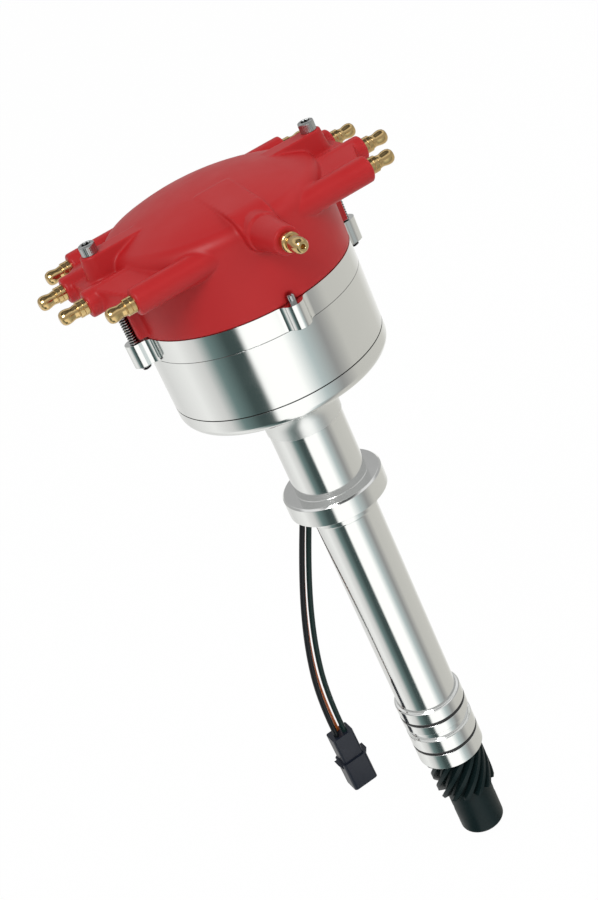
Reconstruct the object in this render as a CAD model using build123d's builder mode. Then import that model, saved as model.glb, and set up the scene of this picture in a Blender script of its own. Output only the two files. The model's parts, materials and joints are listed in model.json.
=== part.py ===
from build123d import *
import os
from math import atan2, cos, degrees, hypot, pi, radians, sin, sqrt, tan

os.makedirs("parts", exist_ok=True)

# Eight-cylinder ignition distributor with side-entry towers.
# Frame: millimetres, +Z up along the drive shaft towards the cap, -Y towards the coil tower.
# The origin is on the shaft's axis, in the underside of the clamping collar.

# ---- Driving dimensions ---------------------------------------------------------------

# Machined housing, from the collar upwards
collar_radius = 22.6
collar_height = 9.0
collar_chamfer = 0.8
upper_stem_radius = 16.4
upper_stem_length = 31.2
neck_radius = 16.8
neck_length = 16.4
neck_fillet = 8.0
base_foot_radius = 31.5
base_height = 14.6
base_bevel_height = 6.4
base_bevel_inset = 1.8
base_round_height = 3.6
base_spigot_radius = 20.0
base_spigot_height = 2.0

# Machined housing, from the collar downwards
hub_radius = 16.6
hub_length = 6.5
hub_chamfer = 1.0
stem_radius = 14.45
stem_length = 151.0
pilot_radius = 16.15
pilot_length = 35.5
pilot_chamfer = 0.5
oil_groove_offset = 13.0
oil_groove_width = 4.5
oil_groove_depth = 1.5
seal_groove_width = 1.6
seal_groove_depth = 1.5
seal_groove_offsets = (6.6, 24.8)
seal_proud = 0.02
stem_bore_radius = 7.3
bushing_radius = 8.6
bushing_length = 25.0

# Bowl and cap ring
bowl_radius = 46.0
bowl_height = 27.1
bowl_floor = 4.0
bowl_wall = 6.5
plate_ledge_width = 2.1
bowl_upper_bore = bowl_radius - bowl_wall
bowl_lower_bore = bowl_upper_bore - plate_ledge_width
plate_ledge_height = 20.8
ring_height = 9.9
ring_lip_height = 2.5
ring_lip_wall = 1.6
ear_radius = 4.2
ear_flank_radius = 3.5
cap_bolt_circle = bowl_radius + 4.3
pin_circle = bowl_radius + 1.0

# Distributor cap
skirt_height = 29.8
shoulder_drop = 5.9
shoulder_inset = 5.0
dome_rise = 7.4
tower_radius = 5.4
tower_height = 27.0
inner_tower_y = 13.4
outer_tower_y = 37.0
inner_tower_reach = 63.2
outer_tower_reach = 52.0
tower_round = 0.8
web_rise = 2.8
web_drop = 4.6
web_inset = 3.0
web_valley_rise = 1.3
web_valley_width = 8.0
lug_half_width = 7.0
lug_top_half_width = 4.5
lug_draft = 8.0
lug_top_height = 39.4
lug_bottom_height = 1.6
lug_upper_bottom_height = 17.8
lug_lower_reach = cap_bolt_circle - 0.9
screw_channel_radius = 3.2
coil_tower_radius = 5.3
coil_tower_root_radius = 6.8
coil_tower_height = 29.8
coil_tower_reach = 68.5
hood_half_width = 7.4
hood_reach = bowl_radius + 4.0
hood_start = 12.0
cap_spigot_depth = 3.0
cap_spigot_wall = 2.6
cap_inner_radius = bowl_radius - 13.0
cap_lower_cavity_height = 10.5
cap_roof_height = 26.0

# High-tension terminals, moulded into the cap
terminal_radius = 3.3
terminal_base_length = 5.0
terminal_neck_radius = 2.4
terminal_neck_length = 1.2
terminal_bulb_radius = 3.0
terminal_length = 11.3
terminal_tip_radius = 1.9
terminal_shank_radius = 1.6
terminal_shank_length = 9.0
coil_terminal_radius = 3.7
coil_terminal_base_length = 3.0
coil_terminal_neck_radius = 2.5
coil_terminal_bulb_radius = 3.1
coil_terminal_length = 12.0
coil_terminal_tip_radius = 2.4
coil_terminal_hole_radius = 1.3
coil_terminal_hole_depth = 4.0
electrode_width = 5.0
electrode_height = 16.0
electrode_depth = 3.4
electrode_gap = 0.8
brush_radius = 2.4
brush_length = 7.0
brush_boss_radius = 5.5
brush_boss_length = 8.6

# Fasteners
cap_screw_radius = 2.08
cap_screw_head_radius = 3.35
cap_screw_head_height = 4.15
cap_screw_length = 52.0
cap_screw_socket = 3.6
cap_screw_socket_depth = 2.2
pin_radius = 1.5
pin_proud = 3.5
pin_depth = 6.0
ring_screw_radius = 1.5
ring_screw_head_radius = 2.8
ring_screw_length = 18.0
ring_screw_circle = bowl_radius - bowl_wall / 2
bowl_screw_radius = 2.0
bowl_screw_head_radius = 3.6
bowl_screw_length = 12.0
bowl_screw_circle = 28.0
small_screw_radius = 1.25
small_screw_head_radius = 2.1
small_screw_head_height = 1.5
small_screw_length = 6.0
screw_count = 4

# Drive shaft, gear and oil-pump tang
shaft_radius = 6.35
journal_radius = 4.75
journal_length = 32.0
tang_width = 5.0
tang_length = 4.5
tang_recess = 3.2
gear_mouth_radius = 6.6
gear_radius = 14.3
gear_root_radius = 11.0
gear_face = 22.5
gear_teeth = 13
gear_twist = 76.0
gear_sections = 14
gear_hub_radius = 10.9
gear_hub_length = 26.2
gear_hub_round = 1.4
roll_pin_radius = 2.38
roll_pin_offset = 12.0
roll_pin_angle = 163.6
washer_thickness = 0.7
washer_radius = 12.0

# Mechanical advance
weight_plate_radius = bowl_lower_bore - 8.4
weight_plate_thickness = 2.5
weight_plate_hub_radius = 10.0
weight_plate_hub_length = 3.0
weight_thickness = 6.0
weight_outer_radius = bowl_lower_bore - 10.4
weight_inner_radius = weight_outer_radius - 12.5
weight_start_angle = 22.0
weight_end_angle = 155.0
pivot_circle = weight_outer_radius - 6.0
pivot_angle = 33.0
pivot_radius = 2.5
weight_clip_radius = 4.0
weight_clip_thickness = 0.8
spring_post_circle = weight_outer_radius - 3.0
spring_post_radius = 1.5
spring_height = 8.5
spring_coil_radius = 1.8
spring_turns = 8
spring_wire = 0.9
advance_travel = 12.0
sleeve_radius = 7.5
sleeve_length = 29.5
sleeve_flange_radius = 20.0
sleeve_flange_thickness = 2.0
cam_long_radius = 12.6
cam_short_radius = 9.6
cam_thickness = 5.0
cam_pin_circle = 10.4
cam_pin_radius = 1.4
clip_thickness = 0.8
clip_radius = 7.0
clip_groove_depth = 0.8

# Shutter wheel and pickup
wheel_radius = bowl_upper_bore - 11.5
wheel_thickness = 1.5
vane_height = 9.0
vane_wall = 1.2
vane_angle = 26.0
vane_count = 8
pickup_plate_thickness = 1.6
pickup_plate_bore = 13.5
module_inner_radius = wheel_radius - 7.5
module_outer_radius = bowl_upper_bore - 2.5
module_half_angle = 19.0
module_base_height = 2.0
module_height = 10.2
module_slot_width = 4.4
module_screw_circle = wheel_radius + 4.6
plate_screw_circle = bowl_upper_bore - 3.3
plate_boss_radius = 3.0
plate_boss_height = 5.0
module_ear_radius = 3.0

# Rotor
rotor_base_radius = wheel_radius - 4.0
rotor_base_height = 3.5
rotor_hub_radius = 12.5
rotor_height = 14.2
rotor_arm_width = 13.0
rotor_arm_height = 5.0
rotor_arm_reach = cap_inner_radius - 5.5
rotor_tail_reach = 16.0
blade_width = 8.0
blade_thickness = 1.4
blade_reach = cap_inner_radius - 3.0
blade_tail = 5.0
rotor_screw_circle = 17.0
rotor_screw_radius = 1.5
rotor_screw_head_radius = 2.9
rotor_screw_head_height = 1.8
rotor_screw_length = 7.0

# Pickup leads, grommet and connector
lead_radius = 1.3
lead_spread = 1.8
lead_fan = 0.12
lead_start_drop = 16.0
lead_end_drop = 22.0
lead_waypoints = ((0.2, 28.0, 5.0), (-22.6, 26.6, -41.3), (-34.7, 26.0, -75.0))
grommet_x = 12.2
grommet_y = 25.2
grommet_body_radius = 4.0
grommet_body_length = 5.5
grommet_lip_radius = 5.2
grommet_lip_thickness = 1.6
grommet_nose_radius = 3.7
grommet_nose_length = 6.5
spot_face_depth = 0.6
inner_lead_radius = 1.5
lead_slot_width = 4.2
inner_lead_circle = bowl_lower_bore - 2.2
connector_x = -40.3
connector_y = 26.0
connector_top = -127.0
connector_width = 11.4
connector_depth = 8.6
connector_body_length = 15.0
connector_shroud_length = 16.5
connector_shroud_grow = 0.9
connector_lip_height = 3.6
connector_lip_reach = 1.6
connector_lip_width = 5.0
connector_wall = 1.3
connector_pin_radius = 0.8
connector_pin_length = 9.0
connector_pin_pitch = 3.2

# Fits and gaps
running_fit = 0.03
pivot_fit = 0.05
seat_gap = 0.3
slip_gap = 0.15
free_gap = 0.4
pin_gap = 0.5

# ---- Heights worked out from the driving dimensions -----------------------------------

z_neck = collar_height + upper_stem_length
z_base = z_neck + neck_length
z_base_top = z_base + base_height
z_bowl_top = z_base_top + bowl_height
z_ring_top = z_bowl_top + ring_height
z_ledge = z_base_top + plate_ledge_height
z_tower = z_ring_top + tower_height
z_coil = z_ring_top + coil_tower_height
z_skirt_top = z_ring_top + skirt_height
z_shoulder = z_skirt_top + shoulder_drop
z_dome = z_shoulder + dome_rise
z_roof = z_ring_top + cap_roof_height
z_lug_top = z_ring_top + lug_top_height
z_pilot = -(stem_length - pilot_length)
z_upper_bush_top = z_base_top + base_spigot_height
z_plate_hub = z_upper_bush_top + washer_thickness + 2 * seat_gap
z_weight_plate = z_plate_hub + weight_plate_hub_length
z_plate_top = z_weight_plate + weight_plate_thickness
z_weights = z_plate_top + seat_gap
z_weights_top = z_weights + weight_thickness
z_spring = z_plate_top + spring_height
z_sleeve_top = z_weights + sleeve_length
z_wheel = z_sleeve_top - sleeve_flange_thickness - 2.0
z_rotor = z_wheel + wheel_thickness
z_rotor_top = z_rotor + rotor_height
z_gear_top = -(stem_length + seat_gap + washer_thickness)
z_gear_hub = z_gear_top - gear_face
z_gear_end = z_gear_hub - gear_hub_length
z_tang_end = z_gear_end + tang_recess
z_roll_pin = z_gear_hub - roll_pin_offset
z_pickup_top = z_ledge + pickup_plate_thickness
roll_pin_plane = Plane(
    origin=(0, 0, z_roll_pin),
    x_dir=(0, 0, 1),
    z_dir=(cos(radians(roll_pin_angle)), sin(radians(roll_pin_angle)), 0),
)
blade_top = z_rotor_top + blade_thickness
lead_hole_circle = hypot(grommet_x, grommet_y)
lead_angle = degrees(atan2(grommet_y, grommet_x))
z_spot = z_base + spot_face_depth
z_grommet_nose = z_spot - grommet_lip_thickness - grommet_nose_length


def save(part, name):
    """Label one finished piece and write it."""
    part.label = name
    export_step(part, f"parts/{name}.step")


# ---- Housing --------------------------------------------------------------------------

bevel_radius = bowl_radius - base_bevel_inset

with BuildPart() as housing:
    with BuildSketch(Plane.XZ):
        with BuildLine():
            Polyline(
                (0, z_upper_bush_top),
                (base_spigot_radius, z_upper_bush_top),
                (base_spigot_radius, z_base_top),
                (bowl_radius, z_base_top),
                (bowl_radius, z_base + base_bevel_height + base_round_height),
            )
            RadiusArc(
                (bowl_radius, z_base + base_bevel_height + base_round_height),
                (bevel_radius, z_base + base_bevel_height),
                base_round_height * 1.3,
            )
            Polyline(
                (bevel_radius, z_base + base_bevel_height),
                (base_foot_radius, z_base),
                (neck_radius + neck_fillet, z_base),
            )
            RadiusArc(
                (neck_radius + neck_fillet, z_base),
                (neck_radius, z_base - neck_fillet),
                -neck_fillet,
            )
            Polyline(
                (neck_radius, z_base - neck_fillet),
                (neck_radius, z_neck),
                (upper_stem_radius, z_neck),
                (upper_stem_radius, collar_height),
                (collar_radius - collar_chamfer, collar_height),
                (collar_radius, collar_height - collar_chamfer),
                (collar_radius, 0),
                (hub_radius, 0),
                (hub_radius, -(hub_length - hub_chamfer)),
                (hub_radius - hub_chamfer, -hub_length),
                (stem_radius, -hub_length),
                (stem_radius, z_pilot),
                (pilot_radius - pilot_chamfer, z_pilot),
                (pilot_radius, z_pilot - pilot_chamfer),
                (pilot_radius, -(stem_length - pilot_chamfer)),
                (pilot_radius - pilot_chamfer, -stem_length),
                (0, -stem_length),
                (0, z_upper_bush_top),
            )
        make_face()
    revolve(axis=Axis.Z)
    # annular oil groove between the two pilot bands
    with BuildSketch(Plane.XY.offset(z_pilot - oil_groove_offset)):
        Circle(pilot_radius + 1)
        Circle(pilot_radius - oil_groove_depth, mode=Mode.SUBTRACT)
    extrude(amount=-oil_groove_width, mode=Mode.SUBTRACT)
    # seal grooves
    for offset_down in seal_groove_offsets:
        with BuildSketch(Plane.XY.offset(z_pilot - offset_down)):
            Circle(pilot_radius + 1)
            Circle(pilot_radius - seal_groove_depth, mode=Mode.SUBTRACT)
        extrude(amount=-seal_groove_width, mode=Mode.SUBTRACT)
    # bore of the stem, and the seats of the two bushings
    with BuildSketch(Plane.XY.offset(-stem_length)):
        Circle(stem_bore_radius)
    extrude(amount=stem_length + z_upper_bush_top, mode=Mode.SUBTRACT)
    for seat in (-stem_length, z_upper_bush_top - bushing_length):
        with BuildSketch(Plane.XY.offset(seat)):
            Circle(bushing_radius)
        extrude(amount=bushing_length, mode=Mode.SUBTRACT)
    # hole for the leads, opening into a radial channel in the top of the base
    with BuildSketch(Plane.XY.offset(z_base)):
        with Locations((grommet_x, grommet_y)):
            Circle(grommet_body_radius)
    extrude(amount=base_height, mode=Mode.SUBTRACT)
    with BuildSketch(Plane.XY.offset(z_spot)):
        with Locations((grommet_x, grommet_y)):
            Circle(grommet_lip_radius + slip_gap)
    extrude(amount=-neck_fillet / 2, mode=Mode.SUBTRACT)
    with BuildSketch(Plane.XY.offset(z_base_top)):
        with PolarLocations((lead_hole_circle + inner_lead_circle) / 2, 1, start_angle=lead_angle):
            SlotCenterToCenter(inner_lead_circle - lead_hole_circle, 2 * grommet_body_radius)
    extrude(amount=-bowl_floor, mode=Mode.SUBTRACT)
    # tapped holes for the bowl screws
    with BuildSketch(Plane.XY.offset(z_base_top)):
        with PolarLocations(bowl_screw_circle, screw_count):
            Circle(bowl_screw_radius)
    extrude(amount=-(bowl_screw_length - bowl_floor), mode=Mode.SUBTRACT)
save(housing.part, "housing")

with BuildPart() as o_rings:
    seal_radius = (seal_groove_depth + seal_proud) / 2
    for offset_down in seal_groove_offsets:
        with Locations((0, 0, z_pilot - offset_down - seal_groove_width / 2)):
            Torus(pilot_radius + seal_proud - seal_radius, seal_radius)
save(o_rings.part, "o_rings")

for bushing_name, seat in (
    ("lower_bushing", -stem_length),
    ("upper_bushing", z_upper_bush_top - bushing_length),
):
    with BuildPart() as bushing:
        with BuildSketch(Plane.XY.offset(seat)):
            Circle(bushing_radius)
            Circle(shaft_radius + running_fit, mode=Mode.SUBTRACT)
        extrude(amount=bushing_length)
    save(bushing.part, bushing_name)

# ---- Bowl and cap ring ----------------------------------------------------------------

with BuildPart() as bowl:
    with BuildSketch(Plane.XZ):
        with BuildLine():
            Polyline(
                (base_spigot_radius + slip_gap, z_base_top),
                (bowl_radius, z_base_top),
                (bowl_radius, z_bowl_top),
                (bowl_upper_bore, z_bowl_top),
                (bowl_upper_bore, z_ledge),
                (bowl_lower_bore, z_ledge),
                (bowl_lower_bore, z_base_top + bowl_floor),
                (base_spigot_radius + slip_gap, z_base_top + bowl_floor),
                close=True,
            )
        make_face()
    revolve(axis=Axis.Z)
    # bosses for the pickup plate's screws
    with BuildSketch(Plane.XY.offset(z_ledge)):
        with PolarLocations(plate_screw_circle, 3, start_angle=lead_angle + 60):
            Circle(plate_boss_radius)
    extrude(amount=-plate_boss_height)
    with BuildSketch(Plane.XY.offset(z_base_top)):
        with PolarLocations((lead_hole_circle + inner_lead_circle) / 2, 1, start_angle=lead_angle):
            SlotCenterToCenter(inner_lead_circle - lead_hole_circle, lead_slot_width)
    extrude(amount=bowl_floor, mode=Mode.SUBTRACT)
    with Locations(Plane.XY.offset(z_base_top + bowl_floor)):
        with PolarLocations(bowl_screw_circle, screw_count):
            CounterSinkHole(
                bowl_screw_radius, bowl_screw_head_radius, depth=bowl_floor, counter_sink_angle=90
            )
    with BuildSketch(Plane.XY.offset(z_bowl_top)):
        with PolarLocations(ring_screw_circle, screw_count, start_angle=45):
            Circle(ring_screw_radius)
    extrude(amount=-(ring_screw_length - ring_height), mode=Mode.SUBTRACT)
    with BuildSketch(Plane.XY.offset(z_ledge)):
        with PolarLocations(plate_screw_circle, 3, start_angle=lead_angle + 60):
            Circle(small_screw_radius)
    extrude(amount=-(small_screw_length - pickup_plate_thickness), mode=Mode.SUBTRACT)
save(bowl.part, "bowl")

pin_ear_circle = bowl_radius + 0.15 * ear_radius

with BuildPart() as cap_ring:
    with BuildSketch(Plane.XY.offset(z_bowl_top)) as ring_plan:
        Circle(bowl_radius)
        with PolarLocations(cap_bolt_circle, 2):
            Circle(ear_radius)
        with PolarLocations((bowl_radius + cap_bolt_circle) / 2 - 1, 2):
            Rectangle(cap_bolt_circle - bowl_radius + 2, 2 * ear_radius)
        with Locations((0, -pin_ear_circle)):
            Circle(ear_radius)
        outline_corners = ring_plan.vertices().filter_by(
            lambda v: abs(hypot(v.X, v.Y) - bowl_radius) < 0.01
        )
        fillet(outline_corners, radius=ear_flank_radius)
        Circle(bowl_upper_bore, mode=Mode.SUBTRACT)
    extrude(amount=ring_height)
    with BuildSketch(Plane.XY.offset(z_bowl_top)):
        Circle(bowl_upper_bore - slip_gap)
        Circle(bowl_upper_bore - slip_gap - ring_lip_wall, mode=Mode.SUBTRACT)
    extrude(amount=-ring_lip_height)
    with BuildSketch(Plane.XY.offset(z_bowl_top)):
        Circle(bowl_upper_bore)
        Circle(bowl_upper_bore - slip_gap - ring_lip_wall, mode=Mode.SUBTRACT)
    extrude(amount=ring_lip_height)
    # tapped holes for the two cap screws, and the blind hole for the locating pin
    with BuildSketch(Plane.XY.offset(z_bowl_top)):
        with PolarLocations(cap_bolt_circle, 2):
            Circle(cap_screw_radius)
    extrude(amount=ring_height, mode=Mode.SUBTRACT)
    with BuildSketch(Plane.XY.offset(z_ring_top)):
        with Locations((0, -pin_circle)):
            Circle(pin_radius)
    extrude(amount=-pin_depth, mode=Mode.SUBTRACT)
    with Locations(Plane.XY.offset(z_ring_top)):
        with PolarLocations(ring_screw_circle, screw_count, start_angle=45):
            CounterSinkHole(
                ring_screw_radius, ring_screw_head_radius, depth=ring_height, counter_sink_angle=90
            )
save(cap_ring.part, "cap_ring")

with BuildPart() as locating_pin:
    with BuildSketch(Plane.XY.offset(z_ring_top - pin_depth)):
        with Locations((0, -pin_circle)):
            Circle(pin_radius)
    extrude(amount=pin_depth + pin_proud)
    chamfer(locating_pin.faces().sort_by(Axis.Z)[-1].edges(), length=0.4)
save(locating_pin.part, "locating_pin")


def flat_head_screws(builder_plane, circle, count, start, shank, head, length):
    """A ring of countersunk screws whose heads lie flush with the plane."""
    with BuildPart() as screws:
        with Locations(builder_plane):
            with PolarLocations(circle, count, start_angle=start):
                Cone(shank, head, head - shank, align=(Align.CENTER, Align.CENTER, Align.MAX))
        with BuildSketch(builder_plane):
            with PolarLocations(circle, count, start_angle=start):
                Circle(shank)
        extrude(amount=-length)
        with BuildSketch(builder_plane):
            with PolarLocations(circle, count, start_angle=start):
                RegularPolygon(shank * 0.8, 6)
        extrude(amount=-(head - shank) * 0.9, mode=Mode.SUBTRACT)
    return screws.part


save(
    flat_head_screws(
        Plane.XY.offset(z_ring_top), ring_screw_circle, screw_count, 45,
        ring_screw_radius, ring_screw_head_radius, ring_screw_length,
    ),
    "ring_screws",
)
save(
    flat_head_screws(
        Plane.XY.offset(z_base_top + bowl_floor), bowl_screw_circle, screw_count, 0,
        bowl_screw_radius, bowl_screw_head_radius, bowl_screw_length,
    ),
    "bowl_screws",
)

# ---- High-tension terminals and electrodes --------------------------------------------


def terminal_outline(base_radius, base_length, neck_radius, bulb_radius, length, tip_radius, shank_length):
    """Half section of a male terminal that stands on x = 0 and points along +X."""
    shank_radius = terminal_shank_radius
    bulb_start = base_length + terminal_neck_length
    bulb_peak = (bulb_start + length) / 2
    with BuildLine() as outline:
        Polyline(
            (-shank_length, 0),
            (-shank_length, shank_radius),
            (0, shank_radius),
            (0, base_radius),
            (base_length, base_radius),
            (base_length + 0.5, neck_radius),
            (bulb_start, neck_radius),
        )
        ThreePointArc(
            (bulb_start, neck_radius),
            (bulb_peak, bulb_radius),
            (length - 1.0, tip_radius + 0.5),
        )
        Polyline((length - 1.0, tip_radius + 0.5), (length, tip_radius), (length, 0), (-shank_length, 0))
    return outline.line


def tower_places():
    """Side, reach and Y of each plug tower."""
    for side in (1, -1):
        for reach, place in (
            (outer_tower_reach, outer_tower_y),
            (inner_tower_reach, inner_tower_y),
            (inner_tower_reach, -inner_tower_y),
            (outer_tower_reach, -outer_tower_y),
        ):
            yield side, reach, place


plug_outline = terminal_outline(
    terminal_radius, terminal_base_length, terminal_neck_radius, terminal_bulb_radius,
    terminal_length, terminal_tip_radius, terminal_shank_length,
)

with BuildPart() as cap_terminals:
    for side, reach, place in tower_places():
        tower_plane = Plane(origin=(side * reach, place, z_tower), x_dir=(side, 0, 0), z_dir=(0, -side, 0))
        with BuildSketch(tower_plane):
            with BuildLine():
                add(plug_outline)
            make_face()
        revolve(axis=Axis((side * reach, place, z_tower), (side, 0, 0)))
save(cap_terminals.part, "cap_terminals")

coil_outline = terminal_outline(
    coil_terminal_radius, coil_terminal_base_length, coil_terminal_neck_radius, coil_terminal_bulb_radius,
    coil_terminal_length, coil_terminal_tip_radius, coil_tower_reach - brush_radius,
)

with BuildPart() as coil_terminal:
    coil_plane = Plane(origin=(0, -coil_tower_reach, z_coil), x_dir=(0, -1, 0), z_dir=(-1, 0, 0))
    with BuildSketch(coil_plane):
        with BuildLine():
            add(coil_outline)
        make_face()
    revolve(axis=Axis((0, -coil_tower_reach, z_coil), (0, -1, 0)))
    with BuildSketch(Plane.XZ.offset(coil_tower_reach + coil_terminal_length)):
        with Locations((0, z_coil)):
            Circle(coil_terminal_hole_radius)
    extrude(amount=-coil_terminal_hole_depth, mode=Mode.SUBTRACT)
    # socket over the top of the brush spring
    with BuildSketch(Plane.XY.offset(z_coil - brush_radius - 0.6)):
        Circle(brush_radius + 1.2)
    extrude(amount=2 * brush_radius)
save(coil_terminal.part, "coil_terminal")

electrode_face = blade_reach + electrode_gap

with BuildPart() as cap_electrodes:
    for side, reach, place in tower_places():
        shank_end = side * (reach - terminal_shank_length)
        sign_y = 1 if place > 0 else -1
        bar_angle = 67.5 if abs(place) > inner_tower_y else 22.5
        bar_circle = electrode_face + electrode_depth / 2
        bar_x = side * bar_circle * cos(radians(bar_angle))
        bar_y = sign_y * bar_circle * sin(radians(bar_angle))
        bar_turn = degrees(atan2(bar_y, bar_x))
        with BuildSketch(Plane.XY.offset(z_tower - electrode_height)):
            with Locations(Location((bar_x, bar_y), bar_turn)):
                Rectangle(electrode_depth, electrode_width)
        extrude(amount=electrode_height + terminal_shank_radius)
        run_x = shank_end - bar_x
        run_y = place - bar_y
        run_plane = Plane(origin=(bar_x, bar_y, z_tower), x_dir=(0, 0, 1), z_dir=(run_x, run_y, 0))
        with BuildSketch(run_plane):
            Circle(terminal_shank_radius)
        extrude(amount=hypot(run_x, run_y))
    add(cap_terminals.part, mode=Mode.SUBTRACT)
save(cap_electrodes.part, "cap_electrodes")

with BuildPart() as carbon_brush:
    with BuildSketch(Plane.XY.offset(blade_top + seat_gap)):
        Circle(brush_radius)
    extrude(amount=brush_length)
    fillet(carbon_brush.faces().sort_by(Axis.Z)[0].edges(), radius=0.8)
save(carbon_brush.part, "carbon_brush")

z_brush_top = blade_top + seat_gap + brush_length
brush_spring_end = z_coil - brush_radius - 0.6
brush_spring_turns = 4
with BuildPart() as brush_spring:
    turn_rise = (brush_spring_end - z_brush_top) / brush_spring_turns
    with BuildSketch(Plane.XZ):
        with BuildLine():
            for turn in range(brush_spring_turns):
                low = z_brush_top + turn * turn_rise
                ThreePointArc(
                    (brush_radius - 0.5, low),
                    (brush_radius - 0.1, low + turn_rise / 2),
                    (brush_radius - 0.5, low + turn_rise),
                )
            Polyline(
                (brush_radius - 0.5, brush_spring_end),
                (brush_radius - 1.1, brush_spring_end),
                (brush_radius - 1.1, z_brush_top),
                (brush_radius - 0.5, z_brush_top),
            )
        make_face()
    revolve(axis=Axis.Z)
save(brush_spring.part, "brush_spring")

# ---- Distributor cap ------------------------------------------------------------------

with BuildPart() as cap:
    with BuildSketch(Plane.XZ):
        with BuildLine():
            Polyline((0, z_dome), (0, z_ring_top), (bowl_radius, z_ring_top), (bowl_radius, z_skirt_top))
            RadiusArc(
                (bowl_radius, z_skirt_top),
                (bowl_radius - shoulder_inset, z_shoulder),
                -shoulder_drop * 1.15,
            )
            TangentArc((0, z_dome), (bowl_radius - shoulder_inset, z_shoulder), tangent=(1, 0))
        make_face()
    revolve(axis=Axis.Z)
    # plug towers: two long pairs between two short pairs, and the web that joins them
    with BuildSketch(Plane.YZ):
        with Locations((inner_tower_y, z_tower), (-inner_tower_y, z_tower)):
            Circle(tower_radius)
    extrude(amount=inner_tower_reach, both=True)
    with BuildSketch(Plane.YZ):
        with Locations((outer_tower_y, z_tower), (-outer_tower_y, z_tower)):
            Circle(tower_radius)
    extrude(amount=outer_tower_reach, both=True)
    tower_rims = (
        cap.edges().filter_by(GeomType.CIRCLE).filter_by(lambda e: abs(e.radius - tower_radius) < 0.01)
    )
    fillet(tower_rims.filter_by(lambda e: abs(e.center().X) > outer_tower_reach - 0.1), radius=tower_round)
    with BuildPart(mode=Mode.PRIVATE) as web:
        with BuildSketch(Plane.XY.offset(z_tower - web_drop)):
            with BuildLine():
                web_x = inner_tower_reach - web_inset
                web_side_x = outer_tower_reach - web_inset
                Polyline(
                    (web_x, inner_tower_y),
                    (web_side_x, outer_tower_y),
                    (-web_side_x, outer_tower_y),
                    (-web_x, inner_tower_y),
                    (-web_x, -inner_tower_y),
                    (-web_side_x, -outer_tower_y),
                    (web_side_x, -outer_tower_y),
                    (web_x, -inner_tower_y),
                    close=True,
                )
            make_face()
        extrude(amount=web_drop + tower_radius)
        # its top falls from each inner tower to a valley beside the outer one
        with BuildSketch(Plane.YZ):
            with BuildLine():
                crest_y = inner_tower_y + tower_radius / 4
                Polyline(
                    (outer_tower_y, z_tower - web_drop),
                    (outer_tower_y, z_tower + web_valley_rise),
                    (outer_tower_y - web_valley_width / 2, z_tower + web_valley_rise),
                    (crest_y, z_tower + 0.93 * tower_radius),
                    (inner_tower_y - tower_radius / 2, z_tower + web_rise),
                    (tower_radius / 2 - inner_tower_y, z_tower + web_rise),
                    (-crest_y, z_tower + 0.93 * tower_radius),
                    (web_valley_width / 2 - outer_tower_y, z_tower + web_valley_rise),
                    (-outer_tower_y, z_tower + web_valley_rise),
                    (-outer_tower_y, z_tower - web_drop),
                    close=True,
                )
            make_face()
        extrude(amount=inner_tower_reach, both=True, mode=Mode.INTERSECT)
    add(web.part)
    # screw lugs: drafted fins that run into the dome, and the blocks below them
    lug_rise = lug_top_height - lug_upper_bottom_height
    with BuildSketch(Plane.XY.offset(z_lug_top - lug_rise)):
        SlotCenterToCenter(
            2 * cap_bolt_circle, 2 * (lug_top_half_width + lug_rise * tan(radians(lug_draft)))
        )
    extrude(amount=lug_rise, taper=lug_draft)
    with BuildSketch(Plane.XY.offset(z_ring_top + lug_bottom_height)):
        Rectangle(2 * lug_lower_reach, 2 * lug_half_width)
    extrude(amount=lug_upper_bottom_height)
    # coil tower and the rounded hood that leads to it
    with BuildSketch(Plane.YZ.offset(-hood_half_width)):
        with BuildLine():
            Polyline(
                (-hood_start, z_dome - 0.4),
                (-(bowl_radius - shoulder_inset - 4), z_shoulder + 3.4),
            )
            ThreePointArc(
                (-(bowl_radius - shoulder_inset - 4), z_shoulder + 3.4),
                (-(hood_reach - 3.2), z_shoulder - 1.2),
                (-hood_reach, z_coil),
            )
            Polyline(
                (-hood_reach, z_coil),
                (-hood_start, z_coil),
                (-hood_start, z_dome - 0.4),
            )
        make_face()
    extrude(amount=2 * hood_half_width)
    with BuildSketch(Plane.XZ.offset(hood_start)):
        with Locations((0, z_coil)):
            Circle(hood_half_width)
    extrude(amount=hood_reach - hood_start)
    coil_tower_start = hood_reach - coil_tower_radius / 2
    coil_tower_length = coil_tower_reach - coil_tower_start
    with BuildSketch(Plane.XZ.offset(coil_tower_start)):
        with Locations((0, z_coil)):
            Circle(coil_tower_root_radius)
    extrude(
        amount=coil_tower_length,
        taper=degrees(atan2(coil_tower_root_radius - coil_tower_radius, coil_tower_length)),
    )
    # notch in the foot of the skirt, for the locating pin
    with BuildSketch(Plane.XY.offset(z_ring_top)):
        with Locations((0, -pin_circle)):
            Circle(pin_radius + pin_gap)
    extrude(amount=pin_proud + pin_gap, mode=Mode.SUBTRACT)
    # spigot that centres the cap in the ring
    with BuildSketch(Plane.XY.offset(z_ring_top)):
        Circle(bowl_upper_bore - slip_gap)
    extrude(amount=-cap_spigot_depth)
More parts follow.
